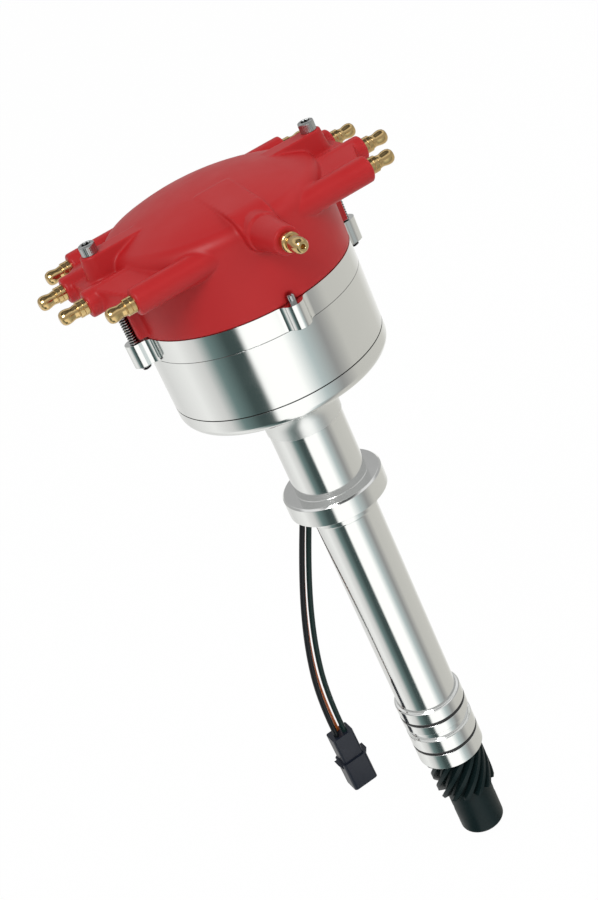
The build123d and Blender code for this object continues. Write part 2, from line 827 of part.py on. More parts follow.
    # inside of the cap
    with BuildSketch(Plane.XY.offset(z_ring_top - cap_spigot_depth)):
        Circle(bowl_upper_bore - slip_gap - cap_spigot_wall)
    extrude(amount=cap_spigot_depth + cap_lower_cavity_height, mode=Mode.SUBTRACT)
    with BuildSketch(Plane.XY.offset(z_roof)):
        Circle(cap_inner_radius)
        Circle(brush_boss_radius, mode=Mode.SUBTRACT)
    extrude(amount=-brush_boss_length, mode=Mode.SUBTRACT)
    with BuildSketch(Plane.XY.offset(z_roof - brush_boss_length)):
        Circle(cap_inner_radius)
    extrude(amount=-(cap_roof_height - brush_boss_length), mode=Mode.SUBTRACT)
    with BuildSketch(Plane.XY.offset(z_roof - brush_boss_length)):
        Circle(brush_radius + slip_gap)
    extrude(amount=brush_spring_end - z_roof + brush_boss_length, mode=Mode.SUBTRACT)
    # screw holes through the lugs, and the open channels below them
    with BuildSketch(Plane.XY.offset(z_ring_top)):
        with PolarLocations(cap_bolt_circle, 2):
            Circle(cap_screw_radius + slip_gap)
    extrude(amount=z_lug_top - z_ring_top + 1, mode=Mode.SUBTRACT)
    with BuildSketch(Plane.XY.offset(z_ring_top)):
        with PolarLocations(cap_bolt_circle, 2):
            Circle(screw_channel_radius)
    extrude(amount=lug_upper_bottom_height, mode=Mode.SUBTRACT)
    # seats of the moulded-in brass
    add(cap_terminals.part, mode=Mode.SUBTRACT)
    add(coil_terminal.part, mode=Mode.SUBTRACT)
    add(cap_electrodes.part, mode=Mode.SUBTRACT)
save(cap.part, "cap")

with BuildPart() as cap_screws:
    with BuildSketch(Plane.XY.offset(z_lug_top)):
        with PolarLocations(cap_bolt_circle, 2):
            Circle(cap_screw_head_radius)
    extrude(amount=cap_screw_head_height)
    fillet(cap_screws.faces().filter_by(Axis.Z).group_by(Axis.Z)[-1].edges(), radius=0.6)
    with BuildSketch(Plane.XY.offset(z_lug_top)):
        with PolarLocations(cap_bolt_circle, 2):
            Circle(cap_screw_radius)
    extrude(amount=-cap_screw_length)
    with BuildSketch(Plane.XY.offset(z_lug_top + cap_screw_head_height)):
        with PolarLocations(cap_bolt_circle, 2):
            RegularPolygon(cap_screw_socket / 2, 6, major_radius=False)
    extrude(amount=-cap_screw_socket_depth, mode=Mode.SUBTRACT)
save(cap_screws.part, "cap_screws")

# ---- Drive shaft and gear -------------------------------------------------------------

with BuildPart() as drive_shaft:
    with BuildSketch(Plane.XY.offset(z_tang_end + tang_length)):
        Circle(shaft_radius)
    extrude(amount=z_plate_top - z_tang_end - tang_length)
    with BuildSketch(Plane.XY.offset(z_tang_end)):
        Circle(shaft_radius)
        Rectangle(4 * shaft_radius, tang_width, mode=Mode.INTERSECT)
    extrude(amount=tang_length)
    with BuildSketch(Plane.XY.offset(z_plate_top)):
        Circle(journal_radius)
    extrude(amount=journal_length)
    chamfer(drive_shaft.faces().sort_by(Axis.Z)[-1].edges(), length=0.5)
    with BuildSketch(Plane.XY.offset(z_sleeve_top + seat_gap)):
        Circle(journal_radius)
        Circle(journal_radius - clip_groove_depth, mode=Mode.SUBTRACT)
    extrude(amount=clip_thickness, mode=Mode.SUBTRACT)
    with BuildSketch(roll_pin_plane.offset(-2 * shaft_radius)):
        Circle(roll_pin_radius)
    extrude(amount=4 * shaft_radius, mode=Mode.SUBTRACT)
save(drive_shaft.part, "drive_shaft")


def gear_outline(turn):
    """Corners of the toothed outline, turned by an angle in degrees."""
    pitch = 360 / gear_teeth
    corners = []
    for tooth in range(gear_teeth):
        start = turn + tooth * pitch
        for share, radius in (
            (0.0, gear_root_radius),
            (0.24, gear_root_radius),
            (0.44, gear_radius),
            (0.80, gear_radius),
        ):
            angle = radians(start + share * pitch)
            corners.append((radius * cos(angle), radius * sin(angle)))
    return corners


with BuildPart() as drive_gear:
    for section in range(gear_sections + 1):
        section_share = section / gear_sections
        with BuildSketch(Plane.XY.offset(z_gear_hub + gear_face * section_share)):
            with BuildLine():
                Polyline(*gear_outline(gear_twist * section_share), close=True)
            make_face()
    loft(ruled=True)
    with BuildSketch(Plane.XY.offset(z_gear_hub)):
        Circle(gear_hub_radius)
    extrude(amount=-gear_hub_length)
    fillet(
        drive_gear.faces().sort_by(Axis.Z)[0].edges(),
        radius=min(gear_hub_round, 0.3 * (gear_hub_radius - shaft_radius)),
    )
    with BuildSketch(Plane.XY.offset(z_gear_end)):
        Circle(shaft_radius)
    extrude(amount=gear_hub_length + gear_face, mode=Mode.SUBTRACT)
    # mouth that takes the oil pump's drive shaft
    with BuildSketch(Plane.XY.offset(z_gear_end)):
        Circle(gear_mouth_radius)
    extrude(amount=tang_recess, mode=Mode.SUBTRACT)
    with BuildSketch(roll_pin_plane.offset(-2 * gear_hub_radius)):
        Circle(roll_pin_radius)
    extrude(amount=4 * gear_hub_radius, mode=Mode.SUBTRACT)
save(drive_gear.part, "drive_gear")

with BuildPart() as gear_roll_pin:
    roll_pin_reach = sqrt(gear_hub_radius**2 - roll_pin_radius**2) - 0.2
    with BuildSketch(roll_pin_plane.offset(-roll_pin_reach)):
        Circle(roll_pin_radius)
        Circle(roll_pin_radius / 2, mode=Mode.SUBTRACT)
    extrude(amount=2 * roll_pin_reach)
save(gear_roll_pin.part, "gear_roll_pin")

for washer_name, seat in (
    ("lower_thrust_washer", z_gear_top),
    ("upper_thrust_washer", z_plate_hub - washer_thickness - seat_gap),
):
    with BuildPart() as washer:
        with BuildSketch(Plane.XY.offset(seat)):
            Circle(washer_radius)
            Circle(shaft_radius + slip_gap, mode=Mode.SUBTRACT)
        extrude(amount=washer_thickness)
    save(washer.part, washer_name)

# ---- Mechanical advance ---------------------------------------------------------------

with BuildPart() as weight_plate:
    with BuildSketch(Plane.XY.offset(z_weight_plate)):
        Circle(weight_plate_radius)
    extrude(amount=weight_plate_thickness)
    with BuildSketch(Plane.XY.offset(z_plate_hub)):
        Circle(weight_plate_hub_radius)
    extrude(amount=weight_plate_hub_length)
    with BuildSketch(Plane.XY.offset(z_plate_hub)):
        Circle(shaft_radius)
    extrude(amount=weight_plate_hub_length + weight_plate_thickness, mode=Mode.SUBTRACT)
    with BuildSketch(Plane.XY.offset(z_weight_plate)):
        with PolarLocations(pivot_circle, 2, start_angle=pivot_angle):
            Circle(pivot_radius)
        with PolarLocations(spring_post_circle, 2, start_angle=0):
            Circle(spring_post_radius)
    extrude(amount=weight_plate_thickness, mode=Mode.SUBTRACT)
save(weight_plate.part, "weight_plate")

clip_seat = z_weights_top + seat_gap
with BuildPart() as weight_pivots:
    with BuildSketch(Plane.XY.offset(z_weight_plate)):
        with PolarLocations(pivot_circle, 2, start_angle=pivot_angle):
            Circle(pivot_radius)
    extrude(amount=clip_seat + weight_clip_thickness - z_weight_plate)
save(weight_pivots.part, "weight_pivots")

with BuildPart() as weight_clips:
    with BuildSketch(Plane.XY.offset(clip_seat)):
        with PolarLocations(pivot_circle, 2, start_angle=pivot_angle):
            Circle(weight_clip_radius)
            Circle(pivot_radius, mode=Mode.SUBTRACT)
    extrude(amount=weight_clip_thickness)
save(weight_clips.part, "weight_clips")

for weight_name, weight_turn in (("advance_weight_a", 0), ("advance_weight_b", 180)):
    with BuildPart() as advance_weight:
        with BuildSketch(Plane.XY.offset(z_weights)) as weight_plan:
            first = radians(weight_turn + weight_start_angle)
            last = radians(weight_turn + weight_end_angle)
            middle = (first + last) / 2
            with BuildLine():
                ThreePointArc(
                    (weight_outer_radius * cos(first), weight_outer_radius * sin(first)),
                    (weight_outer_radius * cos(middle), weight_outer_radius * sin(middle)),
                    (weight_outer_radius * cos(last), weight_outer_radius * sin(last)),
                )
                Line(
                    (weight_outer_radius * cos(last), weight_outer_radius * sin(last)),
                    (weight_inner_radius * cos(last), weight_inner_radius * sin(last)),
                )
                ThreePointArc(
                    (weight_inner_radius * cos(last), weight_inner_radius * sin(last)),
                    (weight_inner_radius * cos(middle), weight_inner_radius * sin(middle)),
                    (weight_inner_radius * cos(first), weight_inner_radius * sin(first)),
                )
                Line(
                    (weight_inner_radius * cos(first), weight_inner_radius * sin(first)),
                    (weight_outer_radius * cos(first), weight_outer_radius * sin(first)),
                )
            make_face()
            fillet(weight_plan.vertices(), radius=2.5)
            with PolarLocations(pivot_circle, 1, start_angle=pivot_angle + weight_turn):
                Circle(pivot_radius + pivot_fit, mode=Mode.SUBTRACT)
        extrude(amount=weight_thickness)
    save(advance_weight.part, weight_name)

post_top = z_spring + spring_coil_radius + 0.4
with BuildPart() as spring_posts:
    with BuildSketch(Plane.XY.offset(z_weight_plate)):
        with PolarLocations(spring_post_circle, 2):
            Circle(spring_post_radius)
    extrude(amount=post_top - z_weight_plate)
save(spring_posts.part, "spring_posts")

with BuildPart() as advance_sleeve:
    with BuildSketch(Plane.XY.offset(z_weights)):
        Circle(sleeve_radius)
    extrude(amount=sleeve_length)
    with BuildSketch(Plane.XY.offset(z_weights)):
        Ellipse(cam_short_radius, cam_long_radius)
    extrude(amount=cam_thickness)
    with BuildSketch(Plane.XY.offset(z_weights)):
        with PolarLocations(cam_pin_circle, 2, start_angle=90):
            Circle(cam_pin_radius)
    extrude(amount=post_top - z_weights)
    with BuildSketch(Plane.XY.offset(z_wheel)):
        Circle(sleeve_flange_radius)
    extrude(amount=-sleeve_flange_thickness)
    with BuildSketch(Plane.XY.offset(z_weights)):
        Circle(journal_radius + running_fit)
    extrude(amount=sleeve_length, mode=Mode.SUBTRACT)
    with BuildSketch(Plane.XY.offset(z_wheel)):
        with PolarLocations(rotor_screw_circle, 2, start_angle=90):
            Circle(rotor_screw_radius)
    extrude(amount=-sleeve_flange_thickness, mode=Mode.SUBTRACT)
save(advance_sleeve.part, "advance_sleeve")

with BuildPart() as sleeve_clip:
    with BuildSketch(Plane.XY.offset(z_sleeve_top + seat_gap)):
        Circle(clip_radius)
        Circle(journal_radius - clip_groove_depth, mode=Mode.SUBTRACT)
        with Locations((clip_radius / 2, 0)):
            Rectangle(clip_radius, 2 * (journal_radius - clip_groove_depth) - 1, mode=Mode.SUBTRACT)
    extrude(amount=clip_thickness)
save(sleeve_clip.part, "sleeve_clip")

# Each spring hooks over a post of the weight plate, and its long loop rides on a pin of the sleeve.
with BuildPart() as advance_springs:
    for turn in (0, 180):
        post = Vector(spring_post_circle, 0, z_spring).rotate(Axis.Z, 180 + turn)
        cam_pin = Vector(cam_pin_circle, 0, z_spring).rotate(Axis.Z, 90 + turn)
        along = (cam_pin - post).normalized()
        span = (cam_pin - post).length
        eye_radius = spring_post_radius + spring_wire / 2 + slip_gap
        loop_radius = cam_pin_radius + spring_wire / 2 + free_gap
        loop_length = cam_pin_circle * 2 * sin(radians(advance_travel / 2))
        eye_plane = Plane(origin=post, x_dir=along, z_dir=(0, 0, 1))
        pin_path = Vector(1, 0, 0).rotate(Axis.Z, turn - advance_travel / 2)
        link_plane = Plane(origin=cam_pin, x_dir=along, z_dir=(0, 0, 1))
        loop_plane = Plane(origin=cam_pin, x_dir=pin_path, z_dir=(0, 0, 1))
        coil_start = eye_radius + spring_wire / 2 + 0.6
        coil_end = span - loop_radius - spring_wire / 2 - 0.6
        coil_pitch = (coil_end - coil_start) / spring_turns
        with BuildSketch(eye_plane.offset(-spring_wire / 2)):
            Circle(eye_radius + spring_wire / 2)
            with Locations((eye_radius + spring_wire, 0)):
                Rectangle(2 * spring_wire, spring_wire)
            Circle(eye_radius - spring_wire / 2, mode=Mode.SUBTRACT)
        extrude(amount=spring_wire)
        with BuildSketch(link_plane.offset(-spring_wire / 2)):
            with Locations((-loop_radius - spring_wire, 0)):
                Rectangle(2 * spring_wire, spring_wire)
        extrude(amount=spring_wire)
        with BuildSketch(loop_plane.offset(-spring_wire / 2)):
            with Locations((loop_length / 2, 0)):
                SlotCenterToCenter(loop_length, 2 * loop_radius + spring_wire)
                SlotCenterToCenter(loop_length, 2 * loop_radius - spring_wire, mode=Mode.SUBTRACT)
        extrude(amount=spring_wire)
        coil_plane = Plane(origin=post, x_dir=along, z_dir=Vector(0, 0, 1).cross(along))
        with BuildSketch(coil_plane):
            with BuildLine():
                for coil in range(spring_turns):
                    low = coil_start + coil * coil_pitch
                    ThreePointArc(
                        (low, spring_coil_radius * 0.7),
                        (low + coil_pitch / 2, spring_coil_radius),
                        (low + coil_pitch, spring_coil_radius * 0.7),
                    )
                Polyline(
                    (coil_end, spring_coil_radius * 0.7),
                    (coil_end, 0),
                    (coil_start, 0),
                    (coil_start, spring_coil_radius * 0.7),
                )
            make_face()
        revolve(axis=Axis(post, along))
save(advance_springs.part, "advance_springs")

# ---- Shutter wheel and pickup ---------------------------------------------------------

with BuildPart() as shutter_wheel:
    with BuildSketch(Plane.XY.offset(z_wheel)):
        Circle(wheel_radius)
        Circle(sleeve_radius + slip_gap, mode=Mode.SUBTRACT)
        with PolarLocations(rotor_screw_circle, 2, start_angle=90):
            Circle(rotor_screw_radius, mode=Mode.SUBTRACT)
    extrude(amount=wheel_thickness)
    with BuildSketch(Plane.XY.offset(z_wheel)) as vane_plan:
        Circle(wheel_radius)
        Circle(wheel_radius - vane_wall, mode=Mode.SUBTRACT)
        gap_angle = 360 / vane_count - vane_angle
        gap_width = 2 * wheel_radius * tan(radians(gap_angle / 2))
        with PolarLocations(wheel_radius, vane_count):
            Rectangle(4 * vane_wall, gap_width, mode=Mode.SUBTRACT)
    extrude(amount=-vane_height)
save(shutter_wheel.part, "shutter_wheel")

module_screw_reach = module_half_angle + 7

with BuildPart() as pickup_plate:
    with BuildSketch(Plane.XY.offset(z_ledge)):
        Circle(bowl_upper_bore - slip_gap)
        Circle(pickup_plate_bore, mode=Mode.SUBTRACT)
        with PolarLocations(plate_screw_circle, 3, start_angle=lead_angle + 60):
            Circle(small_screw_radius, mode=Mode.SUBTRACT)
        with PolarLocations(inner_lead_circle, 1, start_angle=lead_angle):
            Circle(inner_lead_radius + slip_gap, mode=Mode.SUBTRACT)
        for turn in (-module_screw_reach, module_screw_reach):
            with PolarLocations(module_screw_circle, 1, start_angle=lead_angle + turn):
                Circle(small_screw_radius, mode=Mode.SUBTRACT)
    extrude(amount=pickup_plate_thickness)
save(pickup_plate.part, "pickup_plate")


def cheese_head_screws(seat, circle, angles, length):
    """Small slotted screws with plain heads, standing on a plane."""
    with BuildPart() as screws:
        for angle in angles:
            with BuildSketch(Plane.XY.offset(seat)):
                with PolarLocations(circle, 1, start_angle=angle):
                    Circle(small_screw_head_radius)
            extrude(amount=small_screw_head_height)
            with BuildSketch(Plane.XY.offset(seat)):
                with PolarLocations(circle, 1, start_angle=angle):
                    Circle(small_screw_radius)
            extrude(amount=-length)
            with BuildSketch(Plane.XY.offset(seat + small_screw_head_height)):
                with PolarLocations(circle, 1, start_angle=angle):
                    Rectangle(2 * small_screw_head_radius, 0.6)
            extrude(amount=-small_screw_head_height / 2, mode=Mode.SUBTRACT)
    return screws.part


save(
    cheese_head_screws(
        z_pickup_top,
        plate_screw_circle,
        [lead_angle + 60 + 120 * step for step in range(3)],
        small_screw_length,
    ),
    "plate_screws",
)

with BuildPart() as pickup_module:
    vane_circle = wheel_radius - vane_wall / 2
    with BuildSketch(Plane.XY.offset(z_pickup_top)) as module_plan:
        with BuildLine():
            low_turn = radians(lead_angle - module_half_angle)
            high_turn = radians(lead_angle + module_half_angle)
            mid_turn = radians(lead_angle)
            ThreePointArc(
                (module_outer_radius * cos(low_turn), module_outer_radius * sin(low_turn)),
                (module_outer_radius * cos(mid_turn), module_outer_radius * sin(mid_turn)),
                (module_outer_radius * cos(high_turn), module_outer_radius * sin(high_turn)),
            )
            Line(
                (module_outer_radius * cos(high_turn), module_outer_radius * sin(high_turn)),
                (module_inner_radius * cos(high_turn), module_inner_radius * sin(high_turn)),
            )
            ThreePointArc(
                (module_inner_radius * cos(high_turn), module_inner_radius * sin(high_turn)),
                (module_inner_radius * cos(mid_turn), module_inner_radius * sin(mid_turn)),
                (module_inner_radius * cos(low_turn), module_inner_radius * sin(low_turn)),
            )
            Line(
                (module_inner_radius * cos(low_turn), module_inner_radius * sin(low_turn)),
                (module_outer_radius * cos(low_turn), module_outer_radius * sin(low_turn)),
            )
        make_face()
    extrude(amount=module_height)
    with BuildSketch(Plane.XY.offset(z_pickup_top)):
        for turn in (-module_screw_reach, module_screw_reach):
            with PolarLocations(module_screw_circle, 1, start_angle=lead_angle + turn):
                Circle(module_ear_radius)
            with PolarLocations(module_screw_circle, 1, start_angle=lead_angle + turn * 0.86):
                Rectangle(2 * module_ear_radius, 2 * module_ear_radius)
    extrude(amount=module_base_height)
    # slot in which the vanes run
    with BuildSketch(Plane.XY.offset(z_pickup_top + module_base_height)):
        Circle(vane_circle + module_slot_width / 2)
        Circle(vane_circle - module_slot_width / 2, mode=Mode.SUBTRACT)
    extrude(amount=module_height, mode=Mode.SUBTRACT)
    with BuildSketch(Plane.XY.offset(z_pickup_top)):
        for turn in (-module_screw_reach, module_screw_reach):
            with PolarLocations(module_screw_circle, 1, start_angle=lead_angle + turn):
                Circle(small_screw_radius)
    extrude(amount=module_base_height, mode=Mode.SUBTRACT)
save(pickup_module.part, "pickup_module")

save(
    cheese_head_screws(
        z_pickup_top + module_base_height,
        module_screw_circle,
        [lead_angle - module_screw_reach, lead_angle + module_screw_reach],
        module_base_height + pickup_plate_thickness,
    ),
    "module_screws",
)

# ---- Rotor ----------------------------------------------------------------------------

rivet_x = rotor_arm_reach - 2 * blade_width

with BuildPart() as rotor:
    with BuildSketch(Plane.XY.offset(z_rotor)):
        Circle(rotor_base_radius)
    extrude(amount=rotor_base_height)
    with BuildSketch(Plane.XY.offset(z_rotor)):
        Circle(rotor_hub_radius)
    extrude(amount=rotor_height, taper=4)
    with BuildSketch(Plane.XY.offset(z_rotor_top)):
        with Locations(((rotor_arm_reach - rotor_tail_reach) / 2, 0)):
            SlotOverall(rotor_arm_reach + rotor_tail_reach, rotor_arm_width)
    extrude(amount=-rotor_arm_height)
    with BuildSketch(Plane.XY.offset(z_rotor)):
        Circle(sleeve_radius + slip_gap)
    extrude(amount=z_sleeve_top + 2 * clip_thickness + 2 - z_rotor, mode=Mode.SUBTRACT)
    with BuildSketch(Plane.XY.offset(z_rotor)):
        with PolarLocations(rotor_screw_circle, 2, start_angle=90):
            Circle(rotor_screw_radius)
    extrude(amount=rotor_base_height, mode=Mode.SUBTRACT)
    with BuildSketch(Plane.XY.offset(z_rotor_top)):
        with Locations((rivet_x, 0)):
            Circle(small_screw_radius)
    extrude(amount=-(rotor_arm_height - blade_thickness), mode=Mode.SUBTRACT)
save(rotor.part, "rotor")

with BuildPart() as rotor_blade:
    with BuildSketch(Plane.XY.offset(z_rotor_top)):
        with Locations(((blade_reach - blade_tail) / 2, 0)):
            Rectangle(blade_reach + blade_tail, blade_width)
        Circle(blade_reach, mode=Mode.INTERSECT)
        with Locations((rivet_x, 0)):
            Circle(small_screw_radius, mode=Mode.SUBTRACT)
    extrude(amount=blade_thickness)
    fillet(rotor_blade.edges().filter_by(Axis.Z).group_by(Axis.X)[0], radius=2)
save(rotor_blade.part, "rotor_blade")

with BuildPart() as blade_rivet:
    with BuildSketch(Plane.XY.offset(blade_top)):
        with Locations((rivet_x, 0)):
            Circle(small_screw_head_radius)
    extrude(amount=small_screw_head_height / 2)
    with BuildSketch(Plane.XY.offset(blade_top)):
        with Locations((rivet_x, 0)):
            Circle(small_screw_radius)
    extrude(amount=-rotor_arm_height)
save(blade_rivet.part, "blade_rivet")

with BuildPart() as rotor_screws:
    with BuildSketch(Plane.XY.offset(z_rotor + rotor_base_height)):
        with PolarLocations(rotor_screw_circle, 2, start_angle=90):
            Circle(rotor_screw_head_radius)
    extrude(amount=rotor_screw_head_height)
    with BuildSketch(Plane.XY.offset(z_rotor + rotor_base_height)):
        with PolarLocations(rotor_screw_circle, 2, start_angle=90):
            Circle(rotor_screw_radius)
    extrude(amount=-rotor_screw_length)
    with BuildSketch(Plane.XY.offset(z_rotor + rotor_base_height + rotor_screw_head_height)):
        with PolarLocations(rotor_screw_circle, 2, start_angle=90):
            Rectangle(2 * rotor_screw_head_radius, 0.9)
    extrude(amount=-rotor_screw_head_height / 2, mode=Mode.SUBTRACT)
save(rotor_screws.part, "rotor_screws")

# ---- Pickup leads, grommet and connector ----------------------------------------------

with BuildPart() as lead_grommet:
    with BuildSketch(Plane.XY.offset(z_grommet_nose)):
        with Locations((grommet_x, grommet_y)):
            Circle(grommet_nose_radius)
    extrude(amount=grommet_nose_length)
    with BuildSketch(Plane.XY.offset(z_spot)):
        with Locations((grommet_x, grommet_y)):
            Circle(grommet_lip_radius)
    extrude(amount=-grommet_lip_thickness)
    with BuildSketch(Plane.XY.offset(z_spot)):
        with Locations((grommet_x, grommet_y)):
            Circle(grommet_body_radius)
    extrude(amount=grommet_body_length)
save(lead_grommet.part, "lead_grommet")

# Harness inside the bowl: from the grommet, under the weight plate, up to the pickup module.
with BuildPart() as inner_harness:
    z_channel = z_base_top - bowl_floor / 2
    z_grommet_top = z_spot + grommet_body_length
    harness_x = inner_lead_circle * cos(radians(lead_angle))
    harness_y = inner_lead_circle * sin(radians(lead_angle))
    with BuildLine():
        FilletPolyline(
            (grommet_x, grommet_y, z_grommet_top),
            (grommet_x, grommet_y, z_channel),
            (harness_x, harness_y, z_channel),
            (harness_x, harness_y, z_pickup_top),
            radius=3 * inner_lead_radius / 2 + 0.75,
        )
    with BuildSketch(Plane(origin=(grommet_x, grommet_y, z_grommet_top), z_dir=(0, 0, 1))):
        Circle(inner_lead_radius)
    sweep()
save(inner_harness.part, "inner_harness")

# Centre line of the three leads, from the grommet's nose to the top of the connector.
lead_route = (
    (grommet_x, grommet_y, z_grommet_nose),
    (grommet_x, grommet_y, z_grommet_nose - lead_start_drop),
    *lead_waypoints,
    (connector_x, connector_y, connector_top + lead_end_drop),
    (connector_x, connector_y, connector_top),
)


def lead_points(lead_turn):
    """Corner points of one lead, fanned out slightly on the way down."""
    points = []
    for step, (centre_x, centre_y, centre_z) in enumerate(lead_route):
        fan_step = min(max(step - 1, 0), len(lead_route) - 3)
        spread = lead_spread * (1 + lead_fan * fan_step)
        points.append(
            (
                centre_x + spread * cos(radians(lead_turn)),
                centre_y + spread * sin(radians(lead_turn)),
                centre_z,
            )
        )
    return points


def bend_radii(points):
    """Radius of each bend, from the shorter of the two runs that meet there."""
    radii = []
    for before, here, after in zip(points, points[1:], points[2:]):
        run_in = Vector(here) - Vector(before)
        run_out = Vector(after) - Vector(here)
        half_turn = radians(run_in.get_angle(run_out)) / 2
        radii.append(0.45 * min(run_in.length, run_out.length) / tan(half_turn))
    return radii


for lead_name, lead_turn in (("lead_orange", 90), ("lead_black", 210), ("lead_green", 330)):
    route = lead_points(lead_turn)
    radii = bend_radii(route)
    start_run = Vector(route[1]) - Vector(route[0])
    with BuildPart() as lead:
        with BuildLine() as lead_line:
            FilletPolyline(*route, radius=radii)
        with BuildSketch(Plane(origin=route[0], z_dir=start_run)):
            Circle(lead_radius)
        sweep()
    lead_length = lead_line.wire().length
    print(lead_name, "length", round(lead_length, 1), "radii", [round(radius, 1) for radius in radii])
    print(lead_name, "volume share", round(lead.part.volume / (lead_length * pi * lead_radius**2), 4))
    save(lead.part, lead_name)

connector_middle = connector_top - connector_body_length
connector_end = connector_middle - connector_shroud_length

with BuildPart() as lead_connector:
    with BuildSketch(Plane.XY.offset(connector_top)):
        with Locations((connector_x, connector_y)):
            RectangleRounded(connector_width, connector_depth, 1.2)
    extrude(amount=-connector_body_length)
    with BuildSketch(Plane.XY.offset(connector_middle)):
        with Locations((connector_x, connector_y)):
            RectangleRounded(
                connector_width + 2 * connector_shroud_grow,
                connector_depth + 2 * connector_shroud_grow,
                1.6,
            )
    extrude(amount=-connector_shroud_length)
    # latch lips on both sides of the shroud
    with BuildSketch(Plane.XZ.offset(-connector_y - connector_lip_width / 2)):
        for side in (1, -1):
            lip_root = connector_x + side * (connector_width / 2 + connector_shroud_grow)
            with BuildLine():
                Polyline(
                    (lip_root - side, connector_middle),
                    (lip_root + side * connector_lip_reach, connector_middle),
                    (lip_root, connector_middle - connector_lip_height),
                    (lip_root - side, connector_middle - connector_lip_height),
                    close=True,
                )
            make_face()
    extrude(amount=connector_lip_width)
    # socket for the mating plug
    with BuildSketch(Plane.XY.offset(connector_end)):
        with Locations((connector_x, connector_y)):
            RectangleRounded(connector_width - connector_wall, connector_depth - connector_wall, 1)
    extrude(amount=connector_shroud_length - connector_wall, mode=Mode.SUBTRACT)
save(lead_connector.part, "lead_connector")

with BuildPart() as connector_pins:
    with BuildSketch(Plane.XY.offset(connector_middle - connector_wall)):
        with Locations((connector_x, connector_y)):
            with GridLocations(connector_pin_pitch, 0, 3, 1):
                Circle(connector_pin_radius)
    extrude(amount=-connector_pin_length)
    chamfer(connector_pins.faces().filter_by(Axis.Z).group_by(Axis.Z)[0].edges(), length=0.3)
save(connector_pins.part, "connector_pins")
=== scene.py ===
import bmesh
import bpy
import json
import math
from mathutils import Matrix, Vector


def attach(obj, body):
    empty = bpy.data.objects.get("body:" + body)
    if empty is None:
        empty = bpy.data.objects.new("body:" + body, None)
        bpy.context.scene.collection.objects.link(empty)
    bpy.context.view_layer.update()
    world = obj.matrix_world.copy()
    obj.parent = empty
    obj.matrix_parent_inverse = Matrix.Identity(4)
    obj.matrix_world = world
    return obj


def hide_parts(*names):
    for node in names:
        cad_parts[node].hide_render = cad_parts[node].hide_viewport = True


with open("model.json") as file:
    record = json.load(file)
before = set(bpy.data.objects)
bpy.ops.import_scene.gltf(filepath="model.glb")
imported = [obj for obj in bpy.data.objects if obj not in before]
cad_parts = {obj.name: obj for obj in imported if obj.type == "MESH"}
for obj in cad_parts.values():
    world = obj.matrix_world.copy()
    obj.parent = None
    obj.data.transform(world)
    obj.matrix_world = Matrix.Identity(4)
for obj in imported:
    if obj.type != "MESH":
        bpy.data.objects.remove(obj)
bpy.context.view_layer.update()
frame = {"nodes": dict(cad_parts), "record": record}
scene = bpy.context.scene
MM = 0.001

# ---- Sizes of the object, in millimetres and under the names that part.py gives them -------
# Housing, from the base down to the pilot
base_spigot_radius = 20.0
base_spigot_height = 2.0
base_height = 14.6
base_bevel_height = 6.4
base_bevel_inset = 1.8
base_round_height = 3.6
base_foot_radius = 31.5
neck_radius = 16.8
neck_length = 16.4
upper_stem_radius = 16.4
upper_stem_length = 31.2
collar_radius = 22.6
collar_height = 9.0
collar_chamfer = 0.8
hub_radius = 16.6
hub_length = 6.5
hub_chamfer = 1.0
stem_radius = 14.45
stem_length = 151.0
pilot_radius = 16.15
pilot_length = 35.5
pilot_chamfer = 0.5
oil_groove_offset = 13.0
oil_groove_width = 4.5
oil_groove_depth = 1.5
seal_groove_offsets = (6.6, 24.8)
seal_groove_width = 1.6
seal_groove_depth = 1.5
stem_bore_radius = 7.3
bushing_radius = 8.6
bushing_length = 25.0

# Bowl, ring and cap
bowl_radius = 46.0
bowl_height = 27.1
bowl_floor = 4.0
bowl_wall = 6.5
plate_ledge_width = 2.1
bowl_upper_bore = bowl_radius - bowl_wall
bowl_lower_bore = bowl_upper_bore - plate_ledge_width
plate_ledge_height = 20.8
slip_gap = 0.15
ring_height = 9.9
tower_height = 27.0
inner_tower_y = 13.4
outer_tower_y = 37.0
inner_tower_reach = 63.2
outer_tower_reach = 52.0
coil_tower_height = 29.8
coil_tower_reach = 68.5

# Terminals and cap screws
terminal_radius = 3.3
terminal_bulb_radius = 3.0
terminal_length = 11.3
terminal_shank_radius = 1.6
terminal_shank_length = 9.0
coil_terminal_radius = 3.7
coil_terminal_bulb_radius = 3.1
coil_terminal_length = 12.0
lug_top_height = 39.4
cap_bolt_circle = bowl_radius + 4.3
cap_screw_length = 52.0
cap_screw_head_radius = 3.35
cap_screw_head_height = 4.15
cap_screw_socket = 3.6
cap_screw_socket_depth = 2.2

# Leads
lead_radius = 1.3
lead_spread = 1.8
lead_fan = 0.12
lead_start_drop = 16.0
lead_end_drop = 22.0

# Heights above the collar's underside
z_neck = collar_height + upper_stem_length
z_base = z_neck + neck_length
z_base_top = z_base + base_height
z_upper_bush_top = z_base_top + base_spigot_height
z_bowl_top = z_base_top + bowl_height
z_ring_top = z_bowl_top + ring_height
z_tower = z_ring_top + tower_height
z_coil = z_ring_top + coil_tower_height
z_lug_top = z_ring_top + lug_top_height
z_pilot = pilot_length - stem_length

# ---- Details that only the scene shows, in millimetres --------------------------------------
neck_flare = 13.4
edge_round = 0.28
edge_break = 0.06
base_joint_depth = 0.8
base_joint_below = 0.2
base_joint_above = 0.15
ring_joint_depth = 0.5
ring_joint_height = 0.12
terminal_edge_round = 0.12
coil_terminal_edge_round = 0.15
thread_radius = 2.1
thread_depth = 0.55
thread_pitch = 1.1
# Painted shade: the screw steel is darkened inside this distance from its axis.
thread_shade_radius = 1.88

